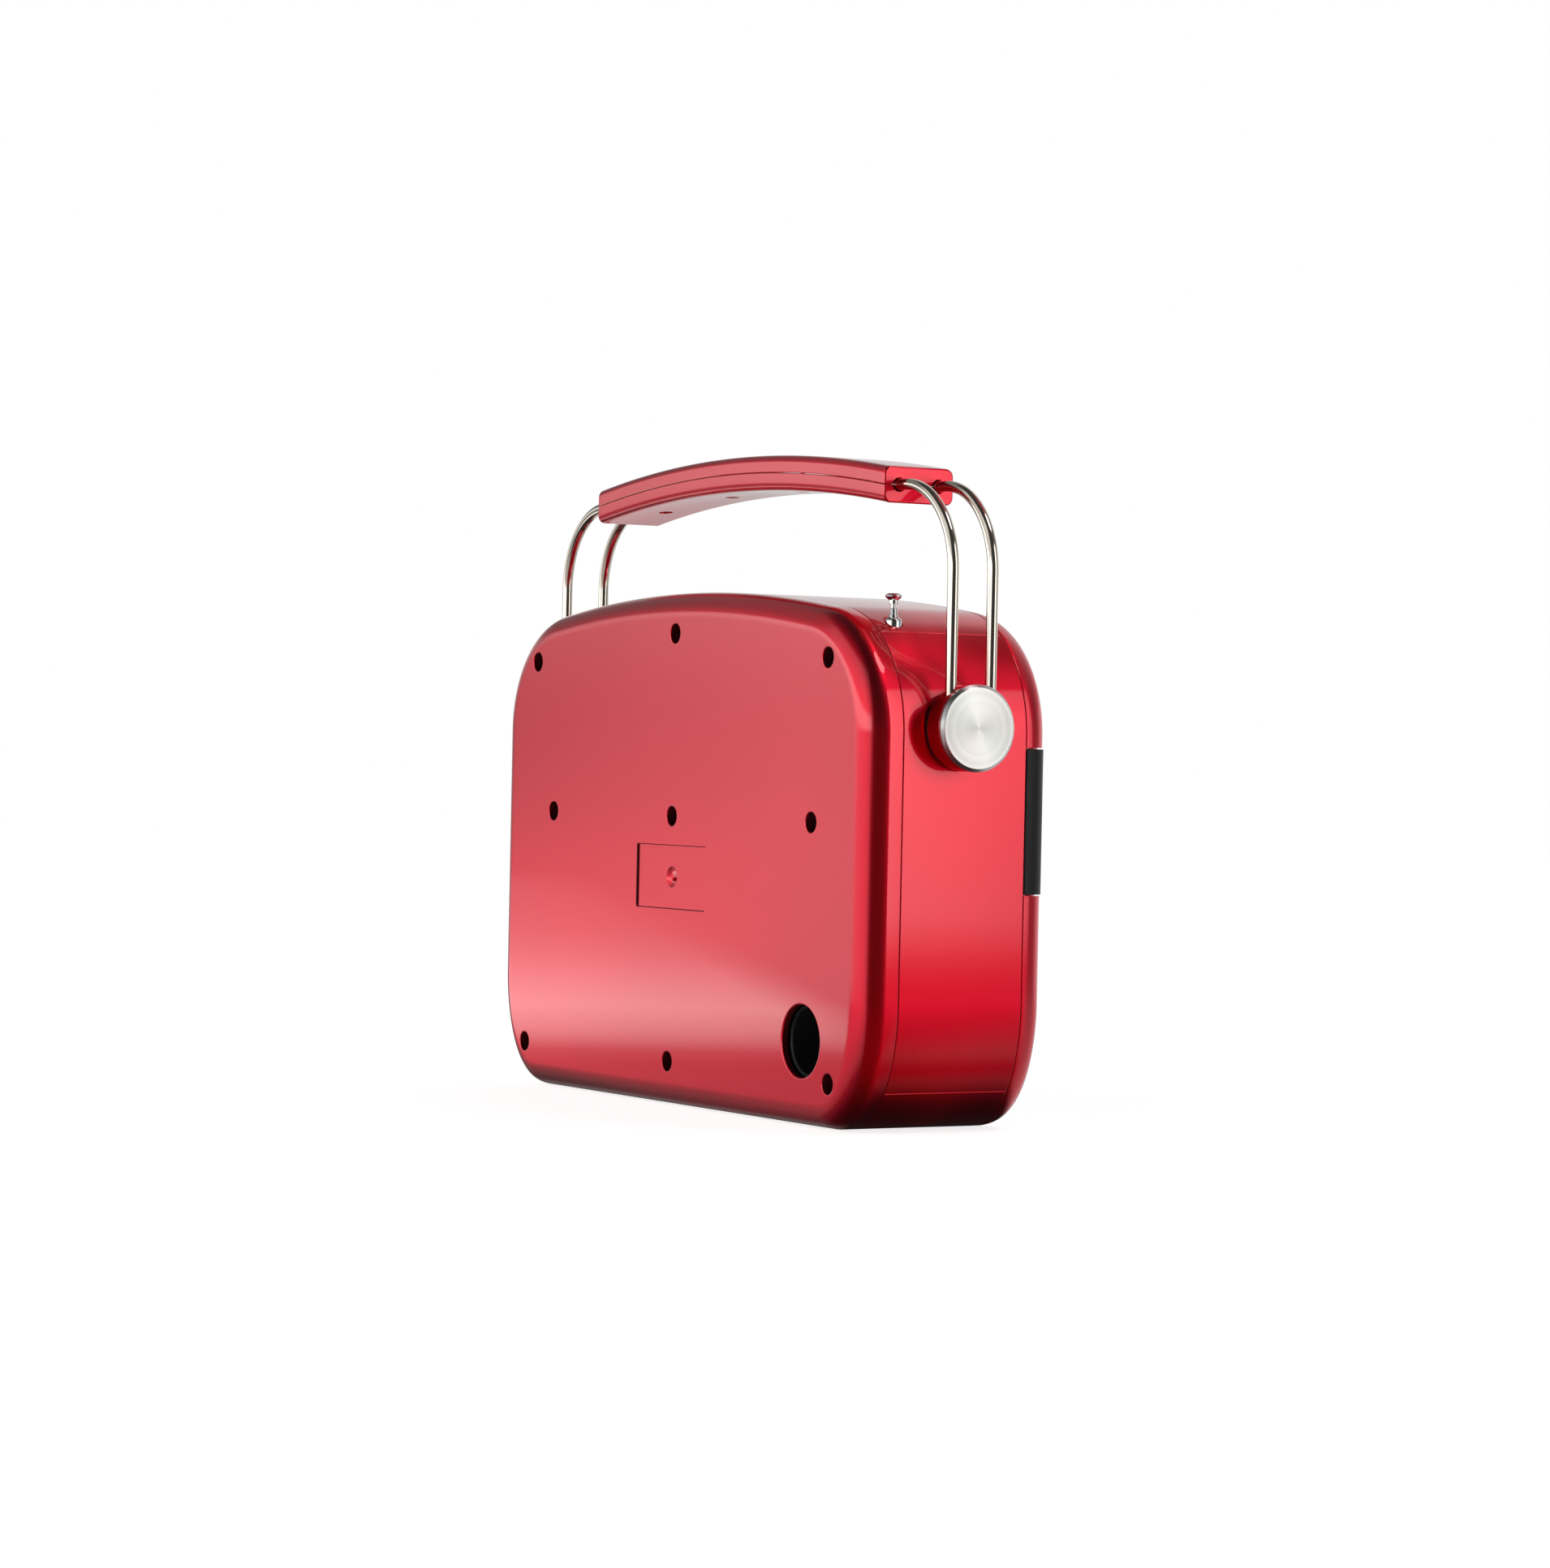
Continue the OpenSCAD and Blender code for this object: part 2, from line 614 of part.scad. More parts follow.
module tuning_shaft() { shaft(knob_x); }
module pointer() {
    y = bezel_y + 0.5;
    color([0.9, 0.15, 0.1]) {
        translate([-0.5, y, scale_z - 16]) cube([1, 0.8, 33]);
        difference() {
            translate([-4, y, scale_z + 16.5]) cube([8, 2.1, 4.6]);
            translate([0, bezel_y + 1.7, rail_z]) rod_x(0.85, -5, 5);
        }
    }
}
module button(x) {
    color([0.85, 0.85, 0.86]) translate([x, 0, 0]) {
        panel(button_w, button_h, 1, button_z, front_y - 3.4, bezel_y + 0.4);
        panel(button_w + 3, button_h + 3, 1.6, button_z, bezel_y + 0.4, bezel_y + 1.4);
        translate([0, 0, button_z]) rod_y(1.8, bezel_y + 1, board_y - 3.2 - press - 0.4);
    }
}
module button_1() { button(button_spots[0]); }
module button_2() { button(button_spots[1]); }
module button_3() { button(button_spots[2]); }

// handle: two hubs on pivot bolts, four bent rods and a two-part grip
washer_t = 1.5;
boss_in = half_w + washer_t + 0.1;
cap_in = 181.6 - 170 + half_w;
cap_out = cap_in + 2.5;
rod_x0 = half_w + 6.8;
rod_end_z = round(10 * (grip_z - grip_t / 2 - grip_half * grip_half / (2 * arch_r))) / 10;
rod_r = rod_d / 2;

module on_side(s) { translate([0, hub_y, hub_z]) mirror([s > 0 ? 0 : 1, 0, 0]) children(); }
module hub_boss(s) {
    color(red) on_side(s) difference() {
        rod_x(hub_r, boss_in, cap_in);
        rod_x(4.05, boss_in - over, cap_in);
        rod_x(7.2, cap_in - 4.2, cap_in + over);
        for (y = [-rod_off, rod_off]) translate([rod_x0, y, 4]) cylinder(r = rod_r, h = hub_r, $fn = 48);
    }
}
module hub_cap(s) {
    color([0.86, 0.86, 0.87]) on_side(s) rotate([0, 90, 0]) rotate_extrude($fn = 96)
        polygon([[0, cap_in], [hub_r, cap_in], [hub_r, cap_out - 1.2], [hub_r - 1.2, cap_out],
            [0, cap_out]]);
}
module rod(s, y) {
    bend_z = rod_end_z - bend_r;
    color(chrome) translate([0, hub_y + y, 0]) mirror([s > 0 ? 0 : 1, 0, 0]) {
        translate([rod_x0, 0, hub_z + 4]) cylinder(r = rod_r, h = bend_z - hub_z - 4, $fn = 48);
        translate([rod_x0 - bend_r, 0, bend_z]) rotate([90, 0, 0])
            rotate_extrude(angle = 90, $fn = 96) translate([bend_r, 0]) circle(r = rod_r, $fn = 48);
        translate([grip_half - rod_hold, 0, rod_end_z])
            rod_x(rod_r, 0, rod_x0 - bend_r - grip_half + rod_hold);
    }
}
module hub_boss_left() { hub_boss(-1); }
module hub_boss_right() { hub_boss(1); }
module hub_cap_left() { hub_cap(-1); }
module hub_cap_right() { hub_cap(1); }
module rod_rear_left() { rod(-1, rod_off); }
module rod_front_left() { rod(-1, -rod_off); }
module rod_rear_right() { rod(1, rod_off); }
module rod_front_right() { rod(1, -rod_off); }

grip_r = arch_r; // outer radius of the grip's arch
grip_mid = grip_r - grip_t / 2;
grip_corner = 3.5;
grip_wall = 2.4;
grip_screw_x = [-96, -32, 32, 96];
rod_hold = 18; // how far each rod runs into the grip
// half of the grip's section, from the seam to the skin, as [radius, across]
function grip_half_section(side, w, t) = concat([[grip_mid, -w / 2]],
    [for (k = [0 : 6]) let (a = 90 * k / 6)
        [grip_mid + side * (t / 2 - grip_corner + grip_corner * sin(a)),
            -w / 2 + grip_corner - grip_corner * cos(a)]],
    [for (k = [0 : 6]) let (a = 90 - 90 * k / 6)
        [grip_mid + side * (t / 2 - grip_corner + grip_corner * sin(a)),
            w / 2 - grip_corner + grip_corner * cos(a)]],
    [[grip_mid, w / 2]]);
module arch_sweep(points, half) {
    intersection() {
        translate([0, hub_y, grip_z - grip_r]) rotate([90, 0, 0])
            rotate_extrude(angle = 24, start = 78, $fn = 360) polygon(points);
        translate([-half, hub_y - 40, grip_z - 60]) cube([2 * half, 80, 80]);
    }
}
module rod_ends(r) {
    for (s = [-1, 1], y = [-rod_off, rod_off])
        translate([s > 0 ? grip_half - rod_hold : -grip_half - over, hub_y + y, rod_end_z])
            rod_x(r, 0, rod_hold + over);
}
module grip_half_shell(side) {
    difference() {
        arch_sweep(grip_half_section(side, grip_w, grip_t), grip_half);
        arch_sweep(grip_half_section(side, grip_w - 2 * grip_wall, grip_t - 2 * grip_wall),
            grip_half - rod_hold - 4);
        rod_ends(rod_r + 0.03);
    }
}
function grip_seam_z(x) = grip_z - grip_r + sqrt(grip_mid * grip_mid - x * x);
module grip_top() {
    color(red) difference() {
        union() {
            grip_half_shell(1);
            for (x = grip_screw_x) translate([x, hub_y, grip_seam_z(x)])
                cylinder(r = 3.4, h = grip_t / 2 - 1.5, $fn = 48);
        }
        for (x = grip_screw_x) translate([x, hub_y, grip_seam_z(x) - 2]) cylinder(r = 1.2, h = 7, $fn = 48);
    }
}
module grip_bottom() {
    color(red) difference() {
        union() {
            grip_half_shell(-1);
            for (x = grip_screw_x) translate([x, hub_y, grip_seam_z(x) - grip_t / 2 + 1.5])
                cylinder(r = 4.6, h = grip_t / 2 - 1.6, $fn = 48);
        }
        for (x = grip_screw_x) {
            translate([x, hub_y, grip_seam_z(x) - grip_t]) cylinder(r = 3.2, h = grip_t - 4, $fn = 48);
            translate([x, hub_y, grip_seam_z(x) - grip_t]) cylinder(r = 1.5, h = grip_t + over, $fn = 48);
        }
    }
}
module grip_screws() {
    color(chrome) for (x = grip_screw_x) translate([x, hub_y, grip_seam_z(x)]) difference() {
        union() {
            translate([0, 0, -5]) cylinder(r = 1.15, h = 9, $fn = 48);
            translate([0, 0, -6]) cylinder(r = 2.6, h = 1.9, $fn = 48);
        }
        for (a = [0, 90]) rotate([0, 0, a]) translate([-1.6, -0.35, -7]) cube([3.2, 0.7, 1.8]);
    }
}
module pivot_bolts() {
    color([0.6, 0.6, 0.62]) for (s = [-1, 1]) on_side(s) {
        rod_x(4, half_w - 16, cap_in - 4);
        rod_x(6.6, cap_in - 4.1, cap_in - 1);
        translate([half_w - 14, 0, 0]) rotate([0, 90, 0]) cylinder(r = 7.4, h = 4.9, $fn = 6);
    }
}
module pivot_washers() {
    color(black) for (s = [-1, 1]) on_side(s) difference() {
        rod_x(hub_r - 0.7, half_w, half_w + washer_t);
        rod_x(4.02, half_w - over, half_w + 2 * washer_t);
    }
}

rear_cover();
centre_shell();
front_bezel();
band_panel();
tuning_lamp();
grille();
grille_trim();
grille_cloth();
scale_lens();
scale_plate();
chassis();
speaker_frame(-speaker_x);  // speaker_frame_left
speaker_cone(-speaker_x);  // speaker_cone_left
speaker_magnet(-speaker_x);  // speaker_magnet_left
speaker_frame(speaker_x);  // speaker_frame_right
speaker_cone(speaker_x);  // speaker_cone_right
speaker_magnet(speaker_x);  // speaker_magnet_right
port_tube();
rear_screws();
feet();
battery_box();
battery_pack();
battery_door();
main_board();
volume_pot();
tuning_capacitor();
ferrite_rod();
ferrite_coil();
dc_jack();
headphone_jack();
antenna_tube();
antenna_bracket();
antenna_section_1();
antenna_section_2();
antenna_section_3();
antenna_tip();
volume_knob();
volume_knob_cap();
volume_shaft();
tuning_knob();
tuning_knob_cap();
tuning_shaft();
pointer();
button_1();
button_2();
button_3();
hub_boss_left();
hub_boss_right();
hub_cap_left();
hub_cap_right();
rod_rear_left();
rod_front_left();
rod_rear_right();
rod_front_right();
grip_top();
grip_bottom();
grip_screws();
pivot_bolts();
pivot_washers();
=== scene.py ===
"""Looks of the portable radio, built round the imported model. Metres, +X right seen from the front,
+Y towards the rear cover, +Z up."""
import bmesh
import bpy
import json
import math
from mathutils import Matrix, Vector

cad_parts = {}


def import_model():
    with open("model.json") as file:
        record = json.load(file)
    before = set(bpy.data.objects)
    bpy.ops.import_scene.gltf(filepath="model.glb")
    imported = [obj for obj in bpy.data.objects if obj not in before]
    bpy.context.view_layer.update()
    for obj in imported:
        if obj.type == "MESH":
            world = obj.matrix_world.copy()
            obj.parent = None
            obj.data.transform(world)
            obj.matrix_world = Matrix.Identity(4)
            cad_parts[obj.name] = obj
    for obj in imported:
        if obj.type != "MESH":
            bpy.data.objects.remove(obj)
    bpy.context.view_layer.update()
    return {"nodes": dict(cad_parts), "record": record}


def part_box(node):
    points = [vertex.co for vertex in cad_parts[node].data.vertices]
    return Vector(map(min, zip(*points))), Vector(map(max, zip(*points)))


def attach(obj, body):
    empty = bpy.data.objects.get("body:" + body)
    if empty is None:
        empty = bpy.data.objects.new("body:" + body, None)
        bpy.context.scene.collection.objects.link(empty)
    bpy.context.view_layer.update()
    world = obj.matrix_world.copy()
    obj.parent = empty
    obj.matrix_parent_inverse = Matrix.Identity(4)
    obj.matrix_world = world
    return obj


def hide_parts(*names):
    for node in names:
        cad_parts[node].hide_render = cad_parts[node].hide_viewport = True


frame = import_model()
NODES = frame["nodes"]
MM = 0.001
AXIS = 1e-7  # the radius of a profile where it meets its axis

# ---------------------------------------------------------------- sizes from the frame
shell_low, shell_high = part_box("centre_shell")
HALF_W = shell_high.x
BASE = shell_low.z
CROWN = shell_high.z
REAR_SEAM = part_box("rear_cover")[0].y
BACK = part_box("rear_cover")[1].y
FRONT_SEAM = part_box("front_bezel")[1].y
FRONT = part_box("front_bezel")[0].y
WALL = 3 * MM
cap_low, cap_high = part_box("hub_cap_right")
HUB = (cap_low + cap_high) / 2
HUB_R = (cap_high.z - cap_low.z) / 2
BOSS_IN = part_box("hub_boss_right")[0].x
CAP_IN, CAP_OUT = cap_low.x, cap_high.x
band_low, band_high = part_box("band_panel")
knob_low, knob_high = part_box("tuning_knob")
KNOB = (knob_low + knob_high) / 2
KNOB_R = (knob_high.z - knob_low.z) / 2
KNOB_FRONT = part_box("tuning_knob_cap")[0].y
lens_low, lens_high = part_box("scale_lens")
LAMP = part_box("tuning_lamp")
GRIP_LOW, GRIP_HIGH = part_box("grip_bottom")[0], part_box("grip_top")[1]

# the outline seen from the front: arched top, round top corners, elliptical bottom corners
ARCH_DROP = 16.5 * MM
CORNER_R = 56 * MM
FOOT_W, FOOT_H = 36 * MM, 56 * MM
ARCH_R = (HALF_W ** 2 + ARCH_DROP ** 2) / (2 * ARCH_DROP)
ARCH_Z = CROWN - ARCH_R
CORNER_X = HALF_W - CORNER_R
CORNER_Z = ARCH_Z + math.sqrt((ARCH_R - CORNER_R) ** 2 - CORNER_X ** 2)
CORNER_A = math.atan2(CORNER_Z - ARCH_Z, CORNER_X)
FOOT_X, FOOT_Z = HALF_W - FOOT_W, BASE + FOOT_H


# ---------------------------------------------------------------- mesh helpers
def spread(a, b, n):
    """n + 1 values from a to b."""
    return [a + (b - a) * k / n for k in range(n + 1)]


def new_object(name, verts, faces):
    mesh = bpy.data.meshes.new(name)
    mesh.from_pydata([tuple(v) for v in verts], [], faces)
    mesh.validate()
    obj = bpy.data.objects.new(name, mesh)
    bpy.context.scene.collection.objects.link(obj)
    return obj


def tidy(obj, angle=32):
    """Merges doubles, makes normals face out, and shades smooth up to an angle."""
    bm = bmesh.new()
    bm.from_mesh(obj.data)
    bmesh.ops.remove_doubles(bm, verts=bm.verts, dist=1e-6)
    bmesh.ops.dissolve_degenerate(bm, dist=1e-7, edges=bm.edges)
    bmesh.ops.recalc_face_normals(bm, faces=bm.faces)
    limit = math.radians(angle)
    for edge in bm.edges:
        edge.smooth = len(edge.link_faces) == 2 and edge.calc_face_angle(0) < limit
    for face in bm.faces:
        face.smooth = True
    bm.to_mesh(obj.data)
    bm.free()
    return obj


def bake_modifiers(obj):
    graph = bpy.context.evaluated_depsgraph_get()
    mesh = bpy.data.meshes.new_from_object(obj.evaluated_get(graph))
    obj.modifiers.clear()
    obj.data = mesh
    return obj


def boolean(obj, tools, operation="DIFFERENCE"):
    """Cuts, adds or intersects obj with one or more closed meshes, which are used up."""
    for tool in tools:
        mod = obj.modifiers.new("cut", "BOOLEAN")
        mod.operation = operation
        mod.solver = "EXACT"
        mod.object = tool
        bake_modifiers(obj)
        bpy.data.objects.remove(tool)
    return obj


def bevel(obj, width, segments=3, angle=35):
    mod = obj.modifiers.new("bevel", "BEVEL")
    mod.width = width
    mod.segments = segments
    mod.limit_method = "ANGLE"
    mod.angle_limit = math.radians(angle)
    mod.harden_normals = False
    return bake_modifiers(obj)


def weigh(obj):
    """Large faces set the normals, so flats stay flat next to their rounded edges."""
    mod = obj.modifiers.new("weigh", "WEIGHTED_NORMAL")
    mod.keep_sharp = True
    return bake_modifiers(obj)


def loft(name, rings, caps=True, loop=False):
    """Joins rings of equal length into a skin, capped at both ends or closed on itself."""
    m, count = len(rings[0]), len(rings)
    verts = [p for ring in rings for p in ring]
    faces = []
    for k in range(count if loop else count - 1):
        a, b = k * m, (k + 1) % count * m
        faces += [(a + i, a + (i + 1) % m, b + (i + 1) % m, b + i) for i in range(m)]
    if caps and not loop:
        faces += [tuple(range(m))[::-1], tuple((count - 1) * m + i for i in range(m))]
    return tidy(new_object(name, verts, faces))


def lathe(name, profile, centre, axis="Y", steps=128, loop=False, flute=None):
    """Turns a profile of (radius, place along the axis) round an axis through centre.
    flute(angle, radius) may change the radius round the turn."""
    rings = []
    for radius, along in profile:
        ring = []
        for k in range(steps):
            angle = 2 * math.pi * k / steps
            r = max(flute(angle, radius) if flute else radius, 1e-7)
            c, s = r * math.cos(angle), r * math.sin(angle)
            ring.append({"X": (along, c, s), "Y": (c, along, -s), "Z": (c, s, along)}[axis])
        rings.append(ring)
    obj = loft(name, rings, caps=True, loop=loop)
    obj.data.transform(Matrix.Translation(centre))
    return obj


def arc(cx, cy, r, a0, a1, n=6):
    """Points of an arc in a profile, angles in degrees."""
    return [(cx + r * math.cos(math.radians(a)), cy + r * math.sin(math.radians(a)))
            for a in spread(a0, a1, n)]


def rounded(w, h, r, n=8):
    points = []
    for q, (sx, sz) in enumerate([(1, 1), (-1, 1), (-1, -1), (1, -1)]):
        points += arc(sx * (w / 2 - r), sz * (h / 2 - r), r, 90 * q, 90 * q + 90, n)
    return points


def plate_ring(centre, y, w, h, r, n=8):
    """A rectangle in X and Z with round corners, at depth y."""
    return [(centre[0] + x, y, centre[1] + z) for x, z in rounded(w, h, r, n)]


def panel(name, w, h, r, centre, y0, y1, n=8):
    """A plate with round corners in X and Z, from depth y0 to y1."""
    return loft(name, [plate_ring(centre, y, w, h, r, n) for y in (y0, y1)])


def block(name, low, high):
    x, y, z = zip(low, high)
    verts = [(x[i & 1], y[i >> 1 & 1], z[i >> 2]) for i in range(8)]
    faces = [(0, 2, 3, 1), (4, 5, 7, 6), (0, 1, 5, 4), (2, 6, 7, 3), (0, 4, 6, 2), (1, 3, 7, 5)]
    return tidy(new_object(name, verts, faces))


def drill(centre, radius, y0, y1, steps=64):
    """A plain cutter along Y."""
    ring = [(centre[0] + radius * math.cos(2 * math.pi * k / steps),
             centre[1] + radius * math.sin(2 * math.pi * k / steps)) for k in range(steps)]
    return loft("cutter", [[(x, y, z) for x, z in ring] for y in (y0, y1)])


def sweep(name, path, radius, steps=32):
    """A round bar along a path that lies in a plane of constant Y."""
    rings = []
    for i, p in enumerate(path):
        a, b = path[max(i - 1, 0)], path[min(i + 1, len(path) - 1)]
        along = (Vector(b) - Vector(a)).normalized()
        side = along.cross(Vector((0, 1, 0))).normalized()
        rings.append([Vector(p) + radius * (math.cos(t) * side + math.sin(t) * Vector((0, 1, 0)))
                      for t in spread(0, 2 * math.pi, steps)[:-1]])
    return loft(name, rings)


def join(name, objects):
    """One object from several."""
    bm = bmesh.new()
    for o in objects:
        bm.from_mesh(o.data)
    mesh = bpy.data.meshes.new(name)
    bm.to_mesh(mesh)
    bm.free()
    for o in objects:
        bpy.data.objects.remove(o)
    obj = bpy.data.objects.new(name, mesh)
    bpy.context.scene.collection.objects.link(obj)
    return obj


def finish(obj, name, body, material, slot, *replaced):
    """Names a piece, gives it its body and its material, and hides the CAD nodes that it stands for."""
    obj.name = name
    obj.data.materials.clear()
    obj.data.materials.append(material)
    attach(obj, body)
    if replaced:
        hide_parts(*replaced)
    return obj


# ---------------------------------------------------------------- materials
class Shader:
    """A Principled material with a few procedural layers on the object's own coordinates."""

    def __init__(self, name, color, metallic=0.0, roughness=0.5, **constants):
        self.material = bpy.data.materials.new(name)
        self.material.use_nodes = True
        self.tree = self.material.node_tree
        self.bsdf = self.tree.nodes["Principled BSDF"]
        self.bsdf.inputs["Base Color"].default_value = (*color, 1)
        self.bsdf.inputs["Metallic"].default_value = metallic
        self.bsdf.inputs["Roughness"].default_value = roughness
        for key, value in constants.items():
            self.bsdf.inputs[key.replace("_", " ")].default_value = value
        self.coords = self.node("ShaderNodeTexCoord").outputs["Object"]

    def node(self, kind, **values):
        made = self.tree.nodes.new(kind)
        for key, value in values.items():
            setattr(made, key, value)
        return made

    def link(self, a, b):
        self.tree.links.new(a, b)

    def noise(self, scale, detail):
        made = self.node("ShaderNodeTexNoise")
        made.inputs["Scale"].default_value = scale
        made.inputs["Detail"].default_value = detail
        self.link(self.coords, made.inputs["Vector"])
        return made.outputs["Fac"]

    def ramp(self, value, low, high, out_low, out_high):
        made = self.node("ShaderNodeMapRange")
        for key, number in zip(("From Min", "From Max", "To Min", "To Max"), (low, high, out_low, out_high)):
            made.inputs[key].default_value = number
        self.link(value, made.inputs["Value"])
        return made.outputs["Result"]

    def blend_color(self, value, dark, light):
        made = self.node("ShaderNodeMix", data_type="RGBA")
        made.inputs["A"].default_value = (*dark, 1)
        made.inputs["B"].default_value = (*light, 1)
        self.link(value, made.inputs["Factor"])
        self.link(made.outputs["Result"], self.bsdf.inputs["Base Color"])

    def rough(self, value, low, high):
        self.link(self.ramp(value, 0.3, 0.7, low, high), self.bsdf.inputs["Roughness"])

    def bump(self, value, strength, distance, coat=False):
        made = self.node("ShaderNodeBump")
        made.inputs["Strength"].default_value = strength
        made.inputs["Distance"].default_value = distance
        self.link(value, made.inputs["Height"])
        self.link(made.outputs["Normal"], self.bsdf.inputs["Coat Normal" if coat else "Normal"])


def lacquer():
    """Metallic red under a clear coat, with fine flakes and a faint orange peel."""
    s = Shader("red_lacquer", (0.90, 0.011, 0.020), metallic=1.0, roughness=0.36,
               Coat_Weight=1.0, Coat_Roughness=0.03, Coat_IOR=1.55, Anisotropic=0.75,
               Anisotropic_Rotation=0.25)
    tangent = s.node("ShaderNodeTangent", direction_type="RADIAL", axis="Z")
    s.link(tangent.outputs["Tangent"], s.bsdf.inputs["Tangent"])
    flakes = s.noise(3000, 1.0)
    s.blend_color(s.ramp(flakes, 0.35, 0.65, 0, 1), (0.86, 0.0075, 0.033), (0.94, 0.0105, 0.041))
    s.rough(s.noise(14, 3.0), 0.345, 0.375)
    s.bump(s.noise(200, 2.0), 0.015, 0.00004, coat=True)
    return s.material


def plated(name, color, roughness, peel=0.03, scale=900):
    """Polished plating with hair scratches and a little haze."""
    s = Shader(name, color, metallic=1.0, roughness=roughness)
    haze = s.noise(60, 4.0)
    s.rough(haze, roughness * 0.75, roughness * 1.35)
    s.blend_color(haze, [c * 0.94 for c in color], color)
    if peel:
        s.bump(s.noise(scale, 2.0), peel, 0.00002)
    return s.material


def spun_metal(name, axis, centre):
    """Aluminium turned on a lathe: fine rings round the centre, which show a bow-tie highlight."""
    s = Shader(name, (0.72, 0.72, 0.69), metallic=1.0, roughness=0.30, Anisotropic=0.75,
               Anisotropic_Rotation=0.25)
    tangent = s.node("ShaderNodeTangent", direction_type="RADIAL", axis=axis)
    s.link(tangent.outputs["Tangent"], s.bsdf.inputs["Tangent"])
    shift = s.node("ShaderNodeMapping", vector_type="POINT")
    shift.inputs["Location"].default_value = [-c for c in centre]
    shift.inputs["Scale"].default_value = (0, 1, 1) if axis == "X" else (1, 0, 1)
    s.link(s.coords, shift.inputs["Vector"])
    length = s.node("ShaderNodeVectorMath", operation="LENGTH")
    s.link(shift.outputs["Vector"], length.inputs[0])
    rings = s.node("ShaderNodeTexNoise", noise_dimensions="1D")
    rings.inputs["Scale"].default_value = 5200
    rings.inputs["Detail"].default_value = 3
    s.link(length.outputs["Value"], rings.inputs["W"])
    s.rough(rings.outputs["Fac"], 0.27, 0.33)
    s.blend_color(rings.outputs["Fac"], (0.69, 0.69, 0.66), (0.75, 0.75, 0.71))
    s.bump(rings.outputs["Fac"], 0.03, 0.00001)
    return s.material


def plastic(name, color, roughness, grain=1500, depth=0.00003, strength=0.25, mottle=0.12, **constants):
    """Moulded plastic, rubber or card with a fine grain."""
    s = Shader(name, color, roughness=roughness, **constants)
    dark, light = ([c * k for c in color] for k in (1 - mottle, 1 + mottle))
    s.blend_color(s.noise(40, 4.0), dark, light)
    s.rough(s.noise(90, 3.0), roughness * 0.88, roughness * 1.12)
    s.bump(s.noise(grain, 3.0), strength, depth)
    return s.material


def cloth():
    """Speaker cloth: two crossed sets of threads."""
    s = Shader("speaker_fabric", (0.02, 0.02, 0.022), roughness=0.85, Sheen_Weight=0.2)
    weave = s.node("ShaderNodeTexBrick")
    weave.inputs["Scale"].default_value = 700
    weave.inputs["Mortar Size"].default_value = 0.06
    split = s.node("ShaderNodeSeparateXYZ")
    upright = s.node("ShaderNodeCombineXYZ")
    s.link(s.coords, split.inputs[0])
    s.link(split.outputs["X"], upright.inputs["X"])
    s.link(split.outputs["Z"], upright.inputs["Y"])
    s.link(upright.outputs[0], weave.inputs["Vector"])
    s.blend_color(weave.outputs["Fac"], (0.035, 0.035, 0.038), (0.006, 0.006, 0.006))
    s.bump(weave.outputs["Fac"], 0.6, 0.0002)
    return s.material


def clear():
    s = Shader("clear_lens", (0.97, 0.98, 0.98), roughness=0.03, Transmission_Weight=1.0, IOR=1.49)
    s.rough(s.noise(50, 3.0), 0.02, 0.05)
    return s.material


RED = lacquer()
BLACK = plastic("black_satin", (0.008, 0.008, 0.008), 0.36, Specular_IOR_Level=0.3)
# a dark maroon painted as shade deep in the rear cover's screw wells and port, and on the label recess walls
HOLLOW_SHADE_RED = plastic("painted_hollow_shade", (0.05, 0.002, 0.003), 0.5, Specular_IOR_Level=0.2)
CHROME = plated("chrome_trim", (0.82, 0.82, 0.82), 0.06, 0)
NICKEL = plated("nickel_rod", (0.90, 0.82, 0.71), 0.10, 0)
POLISHED = plated("polished_edge", (0.88, 0.88, 0.87), 0.26, 0.01)
GLOSS = plastic("washer_black", (0.010, 0.010, 0.010), 0.14, 900, 0.00001, 0.1)
SILVER = plated("grille_metal", (0.60, 0.60, 0.61), 0.30, 0.15)
STEEL = plated("screw_steel", (0.50, 0.50, 0.51), 0.32, 0.1)
RUBBER = plastic("rubber_black", (0.014, 0.014, 0.014), 0.75, 900, 0.00008, 0.5)
CLOTH = cloth()
CLEAR = clear()
CARD = plastic("scale_card", (0.80, 0.72, 0.54), 0.55, 2500, 0.00002, 0.2, 0.05)
INK = plastic("scale_ink", (0.03, 0.025, 0.02), 0.6, 2500, 0.00001, 0.1)
POINTER = plastic("pointer_red", (0.75, 0.05, 0.02), 0.3)
BUTTON = plated("button_silver", (0.70, 0.70, 0.71), 0.28, 0.1)
SLOT_MATERIALS = {
    "speaker_steel": plated("speaker_steel", (0.30, 0.30, 0.32), 0.38, 0.15),
    "paper_cone": plastic("paper_cone", (0.05, 0.05, 0.05), 0.9, 700, 0.0002, 0.6),
    "battery_wrap": plastic("battery_wrap", (0.06, 0.14, 0.32), 0.25, Coat_Weight=0.5),
    "circuit_board": plastic("circuit_board", (0.03, 0.16, 0.07), 0.4, 500, 0.0001, 0.3, 0.3),
    "pot_steel": plated("pot_steel", (0.55, 0.55, 0.55), 0.3, 0.1),
    "capacitor_case": plastic("capacitor_case", (0.75, 0.75, 0.70), 0.35),
    "ferrite_grey": plastic("ferrite_grey", (0.07, 0.07, 0.075), 0.6, 600, 0.0002, 0.5),
    "coil_copper": plated("coil_copper", (0.60, 0.28, 0.10), 0.28, 0.6, 1800),
    "black_satin": BLACK, "chrome_trim": CHROME, "nickel_rod": NICKEL, "grille_metal": SILVER,
    "screw_steel": STEEL, "rubber_black": RUBBER, "speaker_fabric": CLOTH, "clear_lens": CLEAR,
    "scale_card": CARD, "pointer_red": POINTER, "button_silver": BUTTON, "red_lacquer": RED,
    "spun_aluminium": SILVER,
}


